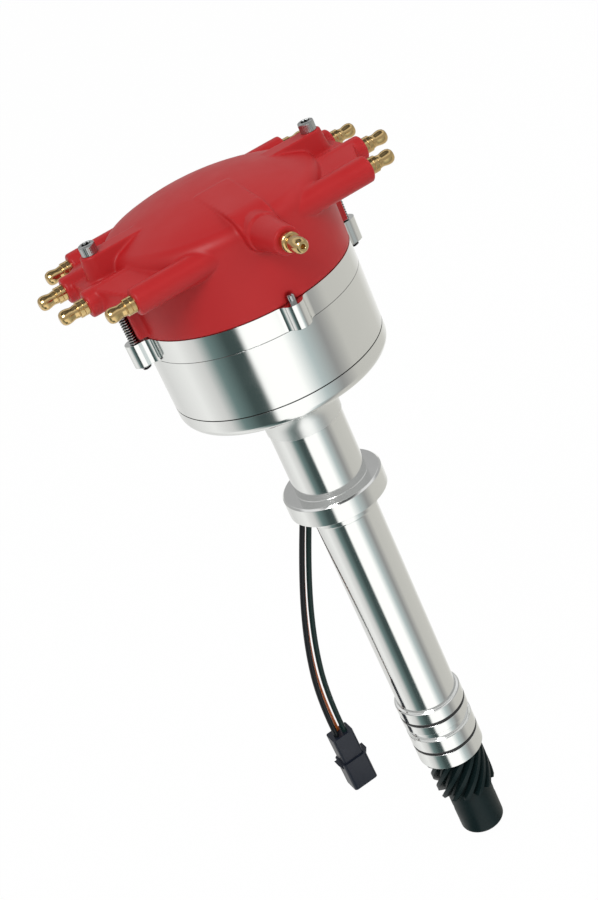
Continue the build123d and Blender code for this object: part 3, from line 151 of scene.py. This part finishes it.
# ---- Stage, in metres ----------------------------------------------------------------------
camera_turn = math.radians(-16.38)
camera_place = (-0.16096, -0.52142, 0.30914)
floor_height = -0.2035
card_height = -0.2031
card_radius = 3.0


# ---- Camera --------------------------------------------------------------------------------
def photo_camera():
    """The photograph's view, from above on the coil tower's side, rolled so that the object leans."""
    tilt, roll = math.radians(27.275), math.radians(-24.51)
    back = Vector((
        math.sin(camera_turn) * math.cos(tilt),
        -math.cos(camera_turn) * math.cos(tilt),
        math.sin(tilt),
    ))
    right = Vector((math.cos(camera_turn), math.sin(camera_turn), 0))
    up = back.cross(right)
    side = right * math.cos(roll) + up * math.sin(roll)
    top = up * math.cos(roll) - right * math.sin(roll)
    data = bpy.data.cameras.new("photo_camera")
    data.lens = 58.0
    data.sensor_width = 36.0
    data.clip_start = 0.01
    camera = bpy.data.objects.new("photo_camera", data)
    scene.collection.objects.link(camera)
    camera.matrix_world = Matrix((*zip(side, top, back, camera_place), (0, 0, 0, 1)))
    scene.camera = camera


photo_camera()


# ---- Material helpers ----------------------------------------------------------------------
def new_material(name):
    material = bpy.data.materials.new(name)
    material.use_nodes = True
    tree = material.node_tree
    return material, tree, tree.nodes["Principled BSDF"]


def add_node(tree, kind, **values):
    node = tree.nodes.new(kind)
    for key, value in values.items():
        setattr(node, key, value)
    return node


def math_node(tree, operation, *values):
    """Math node fed by plain numbers or by other nodes' outputs."""
    node = add_node(tree, "ShaderNodeMath", operation=operation)
    for index, value in enumerate(values):
        if isinstance(value, (int, float)):
            node.inputs[index].default_value = value
        else:
            tree.links.new(value, node.inputs[index])
    return node.outputs[0]


def along(tree, axis):
    """One coordinate in the object's own frame, in metres."""
    coords = add_node(tree, "ShaderNodeTexCoord")
    split = add_node(tree, "ShaderNodeSeparateXYZ")
    tree.links.new(coords.outputs["Object"], split.inputs[0])
    return split.outputs[axis]


def object_noise(tree, scale, stretch=(1, 1, 1), detail=3.0):
    """Noise in the object's own frame, stretched along the axes."""
    coords = add_node(tree, "ShaderNodeTexCoord")
    mapping = add_node(tree, "ShaderNodeMapping")
    mapping.inputs["Scale"].default_value = stretch
    noise = add_node(tree, "ShaderNodeTexNoise")
    noise.inputs["Scale"].default_value = scale
    noise.inputs["Detail"].default_value = detail
    tree.links.new(coords.outputs["Object"], mapping.inputs["Vector"])
    tree.links.new(mapping.outputs["Vector"], noise.inputs["Vector"])
    return noise


def add_bump(tree, shader, noise, strength, distance):
    bump = add_node(tree, "ShaderNodeBump")
    bump.inputs["Strength"].default_value = strength
    bump.inputs["Distance"].default_value = distance
    tree.links.new(noise.outputs["Fac"], bump.inputs["Height"])
    tree.links.new(bump.outputs["Normal"], shader.inputs["Normal"])


def vary_roughness(tree, shader, noise, middle, spread):
    """Let the noise's usual range, 0.3 to 0.7, swing the roughness about its middle."""
    remap = add_node(tree, "ShaderNodeMapRange")
    remap.inputs["From Min"].default_value = 0.3
    remap.inputs["From Max"].default_value = 0.7
    remap.inputs["To Min"].default_value = middle - spread
    remap.inputs["To Max"].default_value = middle + spread
    tree.links.new(noise.outputs["Fac"], remap.inputs["Value"])
    tree.links.new(remap.outputs["Result"], shader.inputs["Roughness"])


def metal(name, colour, roughness, turned=0.0):
    """Metal; turned is the strength of the fine lines that a lathe leaves round the Z axis."""
    material, tree, shader = new_material(name)
    shader.inputs["Base Color"].default_value = (*colour, 1)
    shader.inputs["Metallic"].default_value = 1.0
    vary_roughness(tree, shader, object_noise(tree, scale=60.0), roughness, spread=0.03)
    if turned:
        lines = object_noise(tree, scale=1.0, stretch=(8, 8, 2600), detail=2.0)
        add_bump(tree, shader, lines, strength=turned, distance=0.02 * MM)
    return material


def plastic(name, colour, roughness, grain=0.1, specular=0.5):
    """Plastic or rubber; grain is the strength of its fine moulded surface."""
    material, tree, shader = new_material(name)
    shader.inputs["Base Color"].default_value = (*colour, 1)
    shader.inputs["Specular IOR Level"].default_value = specular
    vary_roughness(tree, shader, object_noise(tree, scale=90.0), roughness, spread=0.04)
    add_bump(tree, shader, object_noise(tree, scale=1800.0), strength=grain, distance=0.03 * MM)
    return material


def paint_shade(tree, shader, mask, tone):
    """Painted shade: where the mask is 1, the base colour falls to the given share."""
    socket = shader.inputs["Base Color"]
    colour = tuple(socket.default_value)[:3]
    mix = add_node(tree, "ShaderNodeMix", data_type="RGBA")
    unshaded_input, shaded_input = mix.inputs[6], mix.inputs[7]
    unshaded_input.default_value = (*colour, 1)
    shaded_input.default_value = (*(tone * part for part in colour), 1)
    if socket.is_linked:
        tree.links.new(socket.links[0].from_socket, unshaded_input)
    tree.links.new(mask, mix.inputs[0])
    tree.links.new(mix.outputs[2], socket)


def band(tree, height, low, high):
    """Mask that is 1 between two heights in millimetres."""
    return math_node(tree, "COMPARE", height, (low + high) / 2 * MM, (high - low) / 2 * MM)


def machined_aluminium():
    """Bright turned metal, duller on the neck, with painted shade in the two joints of the bowl."""
    material = metal("aluminium", (0.84, 0.85, 0.84), 0.11, turned=0.3)
    tree = material.node_tree
    shader = tree.nodes["Principled BSDF"]
    height = along(tree, "Z")
    neck = band(tree, height, z_neck - 0.1, z_base + 0.1)
    polish = shader.inputs["Roughness"].links[0].from_socket
    tree.links.new(math_node(tree, "MULTIPLY_ADD", neck, 0.2, polish), shader.inputs["Roughness"])
    # Painted shade: the base colour is darkened in the joint groove under the bowl and, less, in the joint
    # groove under the ring.
    paint_shade(tree, shader, band(tree, height, z_base_top - 0.26, z_base_top + 0.22), 0.15)
    paint_shade(tree, shader, band(tree, height, z_bowl_top - 0.22, z_bowl_top + 0.06), 0.45)
    return material


def threaded_steel():
    """Screw metal with painted shade in the sockets and in the valleys of the threads."""
    material = metal("screw_steel", (0.46, 0.47, 0.47), 0.18)
    tree = material.node_tree
    outwards = math_node(tree, "ABSOLUTE", along(tree, "X"))
    sideways = math_node(tree, "SUBTRACT", outwards, cap_bolt_circle * MM)
    across = along(tree, "Y")
    squares = [math_node(tree, "MULTIPLY", part, part) for part in (sideways, across)]
    from_axis = math_node(tree, "SQRT", math_node(tree, "ADD", *squares))
    # Painted shade: inside this distance from each screw's axis (the thread valleys, the socket and the
    # tip), the base colour is darkened.
    valley = math_node(tree, "LESS_THAN", from_axis, thread_shade_radius * MM)
    paint_shade(tree, tree.nodes["Principled BSDF"], valley, 0.06)
    return material


# ---- Materials -----------------------------------------------------------------------------
materials = {
    "red_cap": plastic("red_cap", (0.44, 0.012, 0.014), 0.42, grain=0.2, specular=0.28),
    "black_plastic": plastic("black_plastic", (0.011, 0.015, 0.026), 0.34, specular=0.35),
    "rotor_plastic": plastic("rotor_plastic", (0.03, 0.02, 0.02), 0.4),
    "aluminium": machined_aluminium(),
    "steel": metal("steel", (0.55, 0.55, 0.56), 0.28, turned=0.15),
    "dark_steel": plastic("dark_steel", (0.006, 0.015, 0.016), 0.4, grain=0.3, specular=0.12),
    "screw_steel": threaded_steel(),
    "spring_steel": metal("spring_steel", (0.6, 0.6, 0.62), 0.25),
    "brass": metal("brass", (0.68, 0.48, 0.22), 0.19),
    "bronze": metal("bronze", (0.60, 0.40, 0.20), 0.45),
    "carbon": plastic("carbon", (0.02, 0.02, 0.02), 0.6),
    "seal_rubber": plastic("seal_rubber", (0.014, 0.014, 0.015), 0.5),
    "wire_orange": plastic("wire_orange", (0.72, 0.16, 0.02), 0.35, grain=0.0),
    "wire_black": plastic("wire_black", (0.006, 0.008, 0.01), 0.3, grain=0.0, specular=0.25),
    "wire_green": plastic("wire_green", (0.006, 0.022, 0.02), 0.3, grain=0.0, specular=0.25),
}
node_slot = {entry["node"]: entry["material_slot"] for entry in frame["record"]["subparts"]}
for node_name, node_object in frame["nodes"].items():
    node_object.data.materials.clear()
    node_object.data.materials.append(materials[node_slot[node_name]])


# ---- Smooth shading of the solids ----------------------------------------------------------
for node_object in frame["nodes"].values():
    node_object.data.shade_smooth()
    node_object.data.set_sharp_from_angle(angle=math.radians(32))

# The cap is a moulding: its edges are drawn round.
cap = frame["nodes"]["cap"]
skin = cap.modifiers.new("skin", "REMESH")
skin.mode = "VOXEL"
skin.voxel_size = 0.5 * MM
skin.use_smooth_shade = True
ease = cap.modifiers.new("ease", "SMOOTH")
ease.factor = 0.5
ease.iterations = 8


# ---- Meshes of turned and threaded pieces --------------------------------------------------
def on_circle(radius, angle, height=0.0):
    return Vector((radius * math.cos(angle), radius * math.sin(angle), height))


def angles_round(count):
    return [2 * math.pi * step / count for step in range(count)]


def rings_mesh(name, rings, closed=False, capped=False):
    """Mesh through rings of corners; closed joins the last ring to the first, capped fills both ends."""
    around = len(rings[0])
    faces = []
    for row in range(len(rings) if closed else len(rings) - 1):
        here, there = row * around, (row + 1) % len(rings) * around
        for step in range(around):
            after = (step + 1) % around
            faces.append((here + step, here + after, there + after, there + step))
    if capped:
        last = (len(rings) - 1) * around
        faces.append(tuple(range(around))[::-1])
        faces.append(tuple(range(last, last + around)))
    mesh = bpy.data.meshes.new(name)
    mesh.from_pydata([corner for ring in rings for corner in ring], [], faces)
    mesh.validate()
    return mesh


def soften(profile, radius, steps=3):
    """Round the corners of a closed (radius, height) outline, bar those that are nearly flat."""
    nearly_flat, share_of_edge = math.radians(168), 0.42
    rounded = []
    for index, corner in enumerate(profile):
        here = Vector(corner)
        run_in = Vector(profile[index - 1]) - here
        run_out = Vector(profile[(index + 1) % len(profile)]) - here
        turn = run_in.angle(run_out, math.pi)
        if turn > nearly_flat:
            rounded.append(tuple(here))
            continue
        cut = min(radius / math.tan(turn / 2), share_of_edge * min(run_in.length, run_out.length))
        start = here + run_in.normalized() * cut
        end = here + run_out.normalized() * cut
        for step in range(steps + 1):
            share = step / steps
            rounded.append(tuple(start.lerp(here, share).lerp(here.lerp(end, share), share)))
    return rounded


def lathe_mesh(name, profile, segments, place=Matrix.Identity(4), closed=True):
    """Revolve an outline in millimetres round its own axis, then set it in place."""
    turns = angles_round(segments)
    rings = [[place @ on_circle(radius, turn, height) * MM for turn in turns] for radius, height in profile]
    return rings_mesh(name, rings, closed)


def joined(name, meshes):
    """One mesh out of several."""
    work = bmesh.new()
    for mesh in meshes:
        work.from_mesh(mesh)
    whole = bpy.data.meshes.new(name)
    work.to_mesh(whole)
    work.free()
    return whole


def finish_piece(name, mesh, body, node, slot_name):
    """Clean a mesh and show it on its body in place of the CAD node."""
    work = bmesh.new()
    work.from_mesh(mesh)
    bmesh.ops.remove_doubles(work, verts=work.verts, dist=1e-7)
    bmesh.ops.recalc_face_normals(work, faces=work.faces)
    work.to_mesh(mesh)
    work.free()
    mesh.shade_smooth()
    mesh.materials.append(materials[slot_name])
    piece = bpy.data.objects.new(name, mesh)
    scene.collection.objects.link(piece)
    evened = piece.modifiers.new("evened", "WEIGHTED_NORMAL")
    evened.weight = 100
    evened.keep_sharp = True
    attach(piece, body)
    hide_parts(node)


# ---- Housing and bowl ----------------------------------------------------------------------
def housing_profile():
    """Base, flared neck, upper stem, collar, stem and grooved pilot, then back up the bore."""
    joint_radius = bowl_radius - base_joint_depth
    z_joint = z_base_top - base_joint_below
    z_upper_seat, z_lower_seat = z_upper_bush_top - bushing_length, bushing_length - stem_length
    outline = [
        (bushing_radius, z_upper_bush_top), (base_spigot_radius, z_upper_bush_top),
        (base_spigot_radius, z_base_top), (joint_radius, z_base_top), (joint_radius, z_joint),
        (bowl_radius - edge_break, z_joint), (bowl_radius, z_joint - edge_break),
    ]
    z_bevel = z_base + base_bevel_height
    shoulder = ((0, 0), (0.15, 1.0), (0.6, 2.1), (1.2, 3.0), (base_bevel_inset, base_round_height))
    for inset, drop in shoulder:
        outline.append((bowl_radius - inset, z_bevel + base_round_height - drop))
    outline.append((base_foot_radius, z_base))
    for turn in (math.radians(9 * step) for step in range(10)):
        radius = neck_radius + neck_flare * (1 - math.sin(turn))
        outline.append((radius, z_base - neck_flare * (1 - math.cos(turn))))
    outline += [
        (neck_radius, z_neck), (upper_stem_radius, z_neck), (upper_stem_radius, collar_height),
        (collar_radius - collar_chamfer, collar_height), (collar_radius, collar_height - collar_chamfer),
        (collar_radius, 0), (hub_radius, 0),
        (hub_radius, hub_chamfer - hub_length), (hub_radius - hub_chamfer, -hub_length),
        (stem_radius, -hub_length), (stem_radius, z_pilot),
        (pilot_radius - pilot_chamfer, z_pilot), (pilot_radius, z_pilot - pilot_chamfer),
    ]
    upper_seal, lower_seal = (
        (offset, seal_groove_width, seal_groove_depth) for offset in seal_groove_offsets
    )
    oil_groove = (oil_groove_offset, oil_groove_width, oil_groove_depth)
    for offset, width, depth in (upper_seal, oil_groove, lower_seal):
        z_groove = z_pilot - offset
        outline += [(pilot_radius, z_groove), (pilot_radius - depth, z_groove)]
        outline += [(pilot_radius - depth, z_groove - width), (pilot_radius, z_groove - width)]
    outline += [
        (pilot_radius, pilot_chamfer - stem_length), (pilot_radius - pilot_chamfer, -stem_length),
        (bushing_radius, -stem_length), (bushing_radius, z_lower_seat), (stem_bore_radius, z_lower_seat),
        (stem_bore_radius, z_upper_seat), (bushing_radius, z_upper_seat),
    ]
    return soften(outline, edge_round)


def bowl_profile():
    """Bowl with its floor, the pickup plate's ledge and a fine groove at each joint."""
    floor_bore = base_spigot_radius + slip_gap
    z_floor, z_ledge = z_base_top + bowl_floor, z_base_top + plate_ledge_height
    z_foot, z_rim = z_base_top + base_joint_above, z_bowl_top - ring_joint_height
    outline = [
        (floor_bore, z_base_top), (bowl_radius - base_joint_depth, z_base_top),
        (bowl_radius - base_joint_depth, z_foot), (bowl_radius - edge_break, z_foot),
        (bowl_radius, z_foot + edge_break), (bowl_radius, z_rim - edge_break),
        (bowl_radius - edge_break, z_rim), (bowl_radius - ring_joint_depth, z_rim),
        (bowl_radius - ring_joint_depth, z_bowl_top), (bowl_upper_bore, z_bowl_top),
        (bowl_upper_bore, z_ledge), (bowl_lower_bore, z_ledge), (bowl_lower_bore, z_floor),
        (floor_bore, z_floor),
    ]
    return soften(outline, edge_round)


for node_name, profile in (("housing", housing_profile()), ("bowl", bowl_profile())):
    piece_name = f"{node_name}_turned"
    turned_mesh = lathe_mesh(piece_name, profile, segments=192)
    finish_piece(piece_name, turned_mesh, "housing_body", node_name, "aluminium")


# ---- Terminals -----------------------------------------------------------------------------
def plug_profile():
    """Plug terminal: shank, base with a fine groove, waist and bulb."""
    return [
        (0.0, -terminal_shank_length), (terminal_shank_radius, -terminal_shank_length),
        (terminal_shank_radius, 0.0), (terminal_radius, 0.0), (terminal_radius, 1.7),
        (terminal_radius - 0.15, 1.8), (terminal_radius - 0.15, 1.9), (terminal_radius, 2.0),
        (terminal_radius, 3.7), (2.6, 3.75), (2.6, 4.05), (2.75, 4.15), (2.6, 5.0), (2.5, 5.7),
        (2.6, 6.5), (2.85, 7.5), (terminal_bulb_radius, 8.6), (2.95, 9.5), (2.65, 10.4), (2.1, 11.0),
        (1.4, terminal_length), (0.0, terminal_length),
    ]


def coil_profile():
    """Coil terminal: shank, wide base, waist, bulb and the hole down its tip."""
    shank_length, hole_radius, hole_foot = 4.0, 0.85, coil_terminal_length - 3.0
    return [
        (0.0, -shank_length), (terminal_shank_radius, -shank_length), (terminal_shank_radius, 0.0),
        (coil_terminal_radius, 0.0), (coil_terminal_radius, 2.7), (3.3, 3.0), (2.7, 3.15), (2.6, 4.0),
        (2.9, 4.8), (coil_terminal_bulb_radius, 6.0), (coil_terminal_bulb_radius, 8.4), (3.0, 9.6),
        (2.75, 10.6), (2.3, 11.5), (1.8, coil_terminal_length), (1.0, coil_terminal_length),
        (hole_radius, coil_terminal_length - 0.2), (hole_radius, hole_foot), (0.0, hole_foot),
    ]


def axis_place(origin, axis):
    """Matrix, in millimetres, that lays a lathe's own axis along the given one."""
    return Matrix.Translation(origin) @ Vector(axis).to_track_quat("Z", "Y").to_matrix().to_4x4()


plug_outline = soften(plug_profile(), terminal_edge_round, steps=2)
plug_meshes = []
for side in (1, -1):
    for reach, across in ((outer_tower_reach, outer_tower_y), (inner_tower_reach, inner_tower_y)):
        for half in (1, -1):
            place = axis_place((side * reach, half * across, z_tower), (side, 0, 0))
            plug_meshes.append(lathe_mesh("plug", plug_outline, segments=48, place=place, closed=False))
plugs_mesh = joined("plug_terminals", plug_meshes)
finish_piece("plug_terminals_turned", plugs_mesh, "housing_body", "cap_terminals", "brass")

coil_outline = soften(coil_profile(), coil_terminal_edge_round, steps=2)
coil_place = axis_place((0, -coil_tower_reach, z_coil), (0, -1, 0))
coil_mesh = lathe_mesh("coil_terminal_turned", coil_outline, segments=56, place=coil_place, closed=False)
finish_piece("coil_terminal_turned", coil_mesh, "housing_body", "coil_terminal", "brass")


# ---- Cap screws with their threads ---------------------------------------------------------
def thread_mesh(name, axis, top, length):
    """Threaded shank: a helical ridge on a cylinder, drawn in at its tip."""
    rows_per_turn, around = 9, 36
    taper_length, tip_share, ridge_slope = 0.8, 0.4, 1.25
    rows = int(length / thread_pitch * rows_per_turn)
    rings = []
    for down in (length * row / rows for row in range(rows + 1)):
        taper = tip_share + (1 - tip_share) * min(1, (length - down) / taper_length)
        ring = []
        for angle in angles_round(around):
            phase = (down / thread_pitch + angle / (2 * math.pi)) % 1
            ridge = min(1, ridge_slope * (1 - abs(2 * phase - 1)))
            radius = (thread_radius - thread_depth * (1 - ridge)) * taper
            ring.append((axis + on_circle(radius, angle, top - down)) * MM)
        rings.append(ring)
    return rings_mesh(name, rings, capped=True)


def hexagon_reach(width, angle):
    """Distance from the middle of a hexagon to its edge; width is measured across the flats."""
    sector = (angle + math.pi / 6) % (math.pi / 3) - math.pi / 6
    return width / 2 / math.cos(sector)


def socket_head_mesh(name, axis, low, high, radius):
    """Knurled head with a hexagonal socket, in rings up its side and down the socket."""
    angles = angles_round(144)
    knurl_depth, knurl_spacing, socket_chamfer, chamfer_share = 0.08, 4, 0.12, 1.04
    side_levels = (
        (low, radius - 0.2, False), (low + 0.15, radius, False),
        (low + 0.6, radius, True), (high - 1.0, radius, True),
        (high - 0.5, radius, False), (high - 0.15, radius - 0.12, False), (high, radius - 0.4, False),
    )
    socket_levels = ((high, chamfer_share), (high - socket_chamfer, 1), (high - cap_screw_socket_depth, 1))
    rings = []
    for height, reach, knurled in side_levels:
        ring = []
        for step, angle in enumerate(angles):
            groove = knurl_depth if knurled and step % knurl_spacing == 0 else 0
            ring.append(on_circle(reach - groove, angle, height))
        rings.append(ring)
    for height, share in socket_levels:
        width = share * cap_screw_socket
        rings.append([on_circle(hexagon_reach(width, angle), angle, height) for angle in angles])
    return rings_mesh(name, [[(axis + corner) * MM for corner in ring] for ring in rings], capped=True)


screw_parts = []
for side in (1, -1):
    screw_axis = Vector((side * cap_bolt_circle, 0, 0))
    head_top = z_lug_top + cap_screw_head_height
    screw_parts.append(thread_mesh("shank", screw_axis, z_lug_top, cap_screw_length))
    screw_parts.append(socket_head_mesh("head", screw_axis, z_lug_top, head_top, cap_screw_head_radius))
screw_mesh = joined("cap_screws_threaded", screw_parts)
finish_piece("cap_screws_threaded", screw_mesh, "housing_body", "cap_screws", "screw_steel")
screw_mesh.set_sharp_from_angle(angle=math.radians(38))

# ---- Leads ---------------------------------------------------------------------------------
lead_start = Vector((12.2, 25.2, 49.1))
lead_end = Vector((-40.3, 26.0, -127.0))
lead_route = (
    lead_start,
    lead_start - Vector((0, 0, lead_start_drop)),
    Vector((0.2, 28.0, 5.0)),
    Vector((-22.6, 26.6, -41.3)),
    Vector((-34.7, 26.0, -75.0)),
    lead_end + Vector((0, 0, lead_end_drop)),
    lead_end,
)


def curve_length(data):
    """Length of a curve's own line, measured on a mesh of it without its thickness."""
    bare = data.copy()
    bare.bevel_depth = 0
    probe = bpy.data.objects.new("probe", bare)
    line = bpy.data.meshes.new_from_object(probe)
    places = [vertex.co for vertex in line.vertices]
    length = sum((after - before).length for before, after in zip(places, places[1:]))
    bpy.data.objects.remove(probe)
    return length


def lead_curve(name, turn, slot_name):
    """One lead along its route, as a NURBS line with the route's corners as control points."""
    data = bpy.data.curves.new(name, "CURVE")
    data.dimensions = "3D"
    data.bevel_depth = lead_radius * MM
    data.bevel_resolution = 5
    data.resolution_u = 16
    spline = data.splines.new("NURBS")
    spline.points.add(len(lead_route) - 1)
    for step, centre in enumerate(lead_route):
        fan = 1 + lead_fan * min(max(step - 1, 0), len(lead_route) - 3)
        point = centre + on_circle(lead_spread * fan, turn)
        spline.points[step].co = (*(point * MM), 1)
    spline.order_u = 3
    spline.use_endpoint_u = True
    lead = bpy.data.objects.new(name, data)
    scene.collection.objects.link(lead)
    data.materials.append(materials[slot_name])
    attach(lead, "housing_body")
    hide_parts(name.replace("_wire", ""))
    length = curve_length(data)


for lead_name, lead_turn, lead_slot in (
    ("lead_orange_wire", 90, "wire_orange"),
    ("lead_black_wire", 210, "wire_black"),
    ("lead_green_wire", 330, "wire_green"),
):
    lead_curve(lead_name, math.radians(lead_turn), lead_slot)


# ---- Floor and world -----------------------------------------------------------------------
def seen_directly(tree):
    """1 for rays from the camera, off metal and through clear matter, 0 for light on the object."""
    light_path = add_node(tree, "ShaderNodeLightPath")
    camera, glossy, clear = (
        light_path.outputs[ray] for ray in ("Is Camera Ray", "Is Glossy Ray", "Is Transmission Ray")
    )
    return math_node(tree, "MAXIMUM", math_node(tree, "MAXIMUM", camera, glossy), clear)


def mixed(tree, share, first, second):
    """Two shaders in one; the share is the second's."""
    mix = add_node(tree, "ShaderNodeMixShader")
    for index, source in enumerate((share, first.outputs[0], second.outputs[0])):
        tree.links.new(source, mix.inputs[index])
    return mix.outputs[0]


def stage_floor():
    """Pale floor that is white in direct view, bar the small share that shows the shadow."""
    bpy.ops.mesh.primitive_plane_add(size=12, location=(0, 0, floor_height))
    floor = bpy.context.object
    floor.name = "floor"
    material, tree, shader = new_material("floor")
    tree.nodes.remove(shader)
    diffuse = add_node(tree, "ShaderNodeBsdfDiffuse")
    diffuse.inputs["Color"].default_value = (0.9, 0.9, 0.9, 1)
    white = add_node(tree, "ShaderNodeEmission")
    white.inputs["Color"].default_value = (1, 1, 1, 1)
    white_share = math_node(tree, "MULTIPLY", seen_directly(tree), 0.985)
    surface = mixed(tree, white_share, diffuse, white)
    tree.links.new(surface, tree.nodes["Material Output"].inputs["Surface"])
    floor.data.materials.append(material)


def background(tree, strength):
    node = add_node(tree, "ShaderNodeBackground")
    node.inputs["Color"].default_value = (1, 1, 1, 1)
    node.inputs["Strength"].default_value = strength
    return node


def studio_world():
    """White where it is seen directly, softer as light on the object."""
    world = bpy.data.worlds.new("studio")
    scene.world = world
    world.use_nodes = True
    tree = world.node_tree
    tree.nodes.clear()
    surface = mixed(tree, seen_directly(tree), background(tree, 0.55), background(tree, 1.0))
    output = add_node(tree, "ShaderNodeOutputWorld")
    tree.links.new(surface, output.inputs["Surface"])


stage_floor()
studio_world()

# ---- Cards that only reflections see -------------------------------------------------------
WHITE = (1.0, 1.0, 1.0)
NEUTRAL = (1.0, 1.0, 0.98)
WARM = (1.0, 0.985, 0.92)
COOL = (0.87, 1.0, 1.0)
TEAL = (0.68, 1.0, 0.97)


def reflected_only(panel):
    panel.visible_camera = False
    panel.visible_shadow = False
    panel.visible_diffuse = False
    panel.visible_transmission = False


def share_of_turn(tree):
    """Place round the Z axis, from 0 at -180 degrees to 1 at 180."""
    coords = add_node(tree, "ShaderNodeTexCoord")
    gradient = add_node(tree, "ShaderNodeTexGradient", gradient_type="RADIAL")
    tree.links.new(coords.outputs["Object"], gradient.inputs["Vector"])
    return gradient.outputs["Fac"]


def share_of_height(tree):
    """Place up the half sphere, from 0 at the floor to 1 overhead."""
    return math_node(tree, "DIVIDE", along(tree, "Z"), card_radius)


def card_material(name, share, stops, strength=1.0):
    """Unlit tones that follow a share from 0 to 1; each stop has its place, tone and tint."""
    material, tree, shader = new_material(name)
    tree.nodes.remove(shader)
    ramp = add_node(tree, "ShaderNodeValToRGB")
    shine = add_node(tree, "ShaderNodeEmission")
    shine.inputs["Strength"].default_value = strength
    tree.links.new(share(tree), ramp.inputs["Fac"])
    tree.links.new(ramp.outputs["Color"], shine.inputs["Color"])
    tree.links.new(shine.outputs[0], tree.nodes["Material Output"].inputs["Surface"])
    marks = ramp.color_ramp.elements
    marks.remove(marks[-1])
    for index, (place, tone, tint) in enumerate(stops):
        mark = marks[0] if index == 0 else marks.new(place)
        mark.position = place
        mark.color = (*(tone * part / strength for part in tint), 1)
    return material


def floor_card():
    """Wide ring on the floor; its tones go by degrees from the camera's side, left being minus."""
    tones = (
        (-180, 0.85, NEUTRAL), (-135, 0.75, NEUTRAL), (-95, 0.95, NEUTRAL), (-72, 0.70, NEUTRAL),
        (-58, 0.25, TEAL), (-40, 0.08, TEAL), (-27, 0.08, TEAL),
        (-22, 1.20, NEUTRAL), (12, 1.20, NEUTRAL),
        (30, 0.60, COOL), (50, 0.32, NEUTRAL), (70, 0.60, WARM), (130, 0.65, WARM),
        (170, 1.00, NEUTRAL), (180, 0.95, NEUTRAL),
    )
    hole_radius = 0.012
    rings = [[on_circle(reach, angle) for angle in angles_round(96)] for reach in (hole_radius, card_radius)]
    mesh = rings_mesh("floor_card", rings)
    stops = [((turn + 180) / 360, tone, tint) for turn, tone, tint in tones]
    mesh.materials.append(card_material("floor_card", share_of_turn, stops, strength=1.25))
    panel = bpy.data.objects.new("floor_card", mesh)
    panel.location = (0, 0, card_height)
    panel.rotation_euler = (0, 0, camera_turn - math.pi / 2)
    scene.collection.objects.link(panel)
    reflected_only(panel)


def sky_card():
    """Half sphere over the object: grey low down, then a bright belt and a dark one overhead."""
    bpy.ops.mesh.primitive_uv_sphere_add(
        segments=48, ring_count=24, radius=card_radius, location=(0, 0, card_height)
    )
    sky = bpy.context.object
    sky.name = "sky_card"
    work = bmesh.new()
    work.from_mesh(sky.data)
    below = [vertex for vertex in work.verts if vertex.co.z < -0.01]
    bmesh.ops.delete(work, geom=below, context="VERTS")
    work.to_mesh(sky.data)
    work.free()
    stops = (
        (0.00, 0.52, NEUTRAL), (0.56, 0.42, WHITE), (0.64, 0.85, WHITE), (0.80, 0.85, WHITE),
        (0.86, 0.10, WHITE), (0.94, 0.10, WHITE), (1.00, 0.25, WHITE),
    )
    sky.data.materials.append(card_material("sky_card", share_of_height, stops))
    reflected_only(sky)


floor_card()
sky_card()


# ---- Lamps ---------------------------------------------------------------------------------
def lamp(name, place, power, size, mirrored=True):
    """Soft round lamp; one that isn't mirrored leaves no hot spot in the metal."""
    target = Vector((0, 0, 0.05))
    data = bpy.data.lights.new(name, "AREA")
    data.energy = power
    data.shape = "DISK"
    data.size = size
    light = bpy.data.objects.new(name, data)
    light.location = place
    light.rotation_euler = (target - Vector(place)).to_track_quat("-Z", "Y").to_euler()
    light.visible_glossy = mirrored
    scene.collection.objects.link(light)


lamp("key", (-0.9, -1.0, 1.5), power=17, size=0.8)
lamp("fill", (1.2, -0.9, 0.8), power=5, size=0.9, mirrored=False)
lamp("rim", (1.5, 0.2, 1.3), power=5, size=0.8, mirrored=False)

scene.view_settings.view_transform = "Standard"
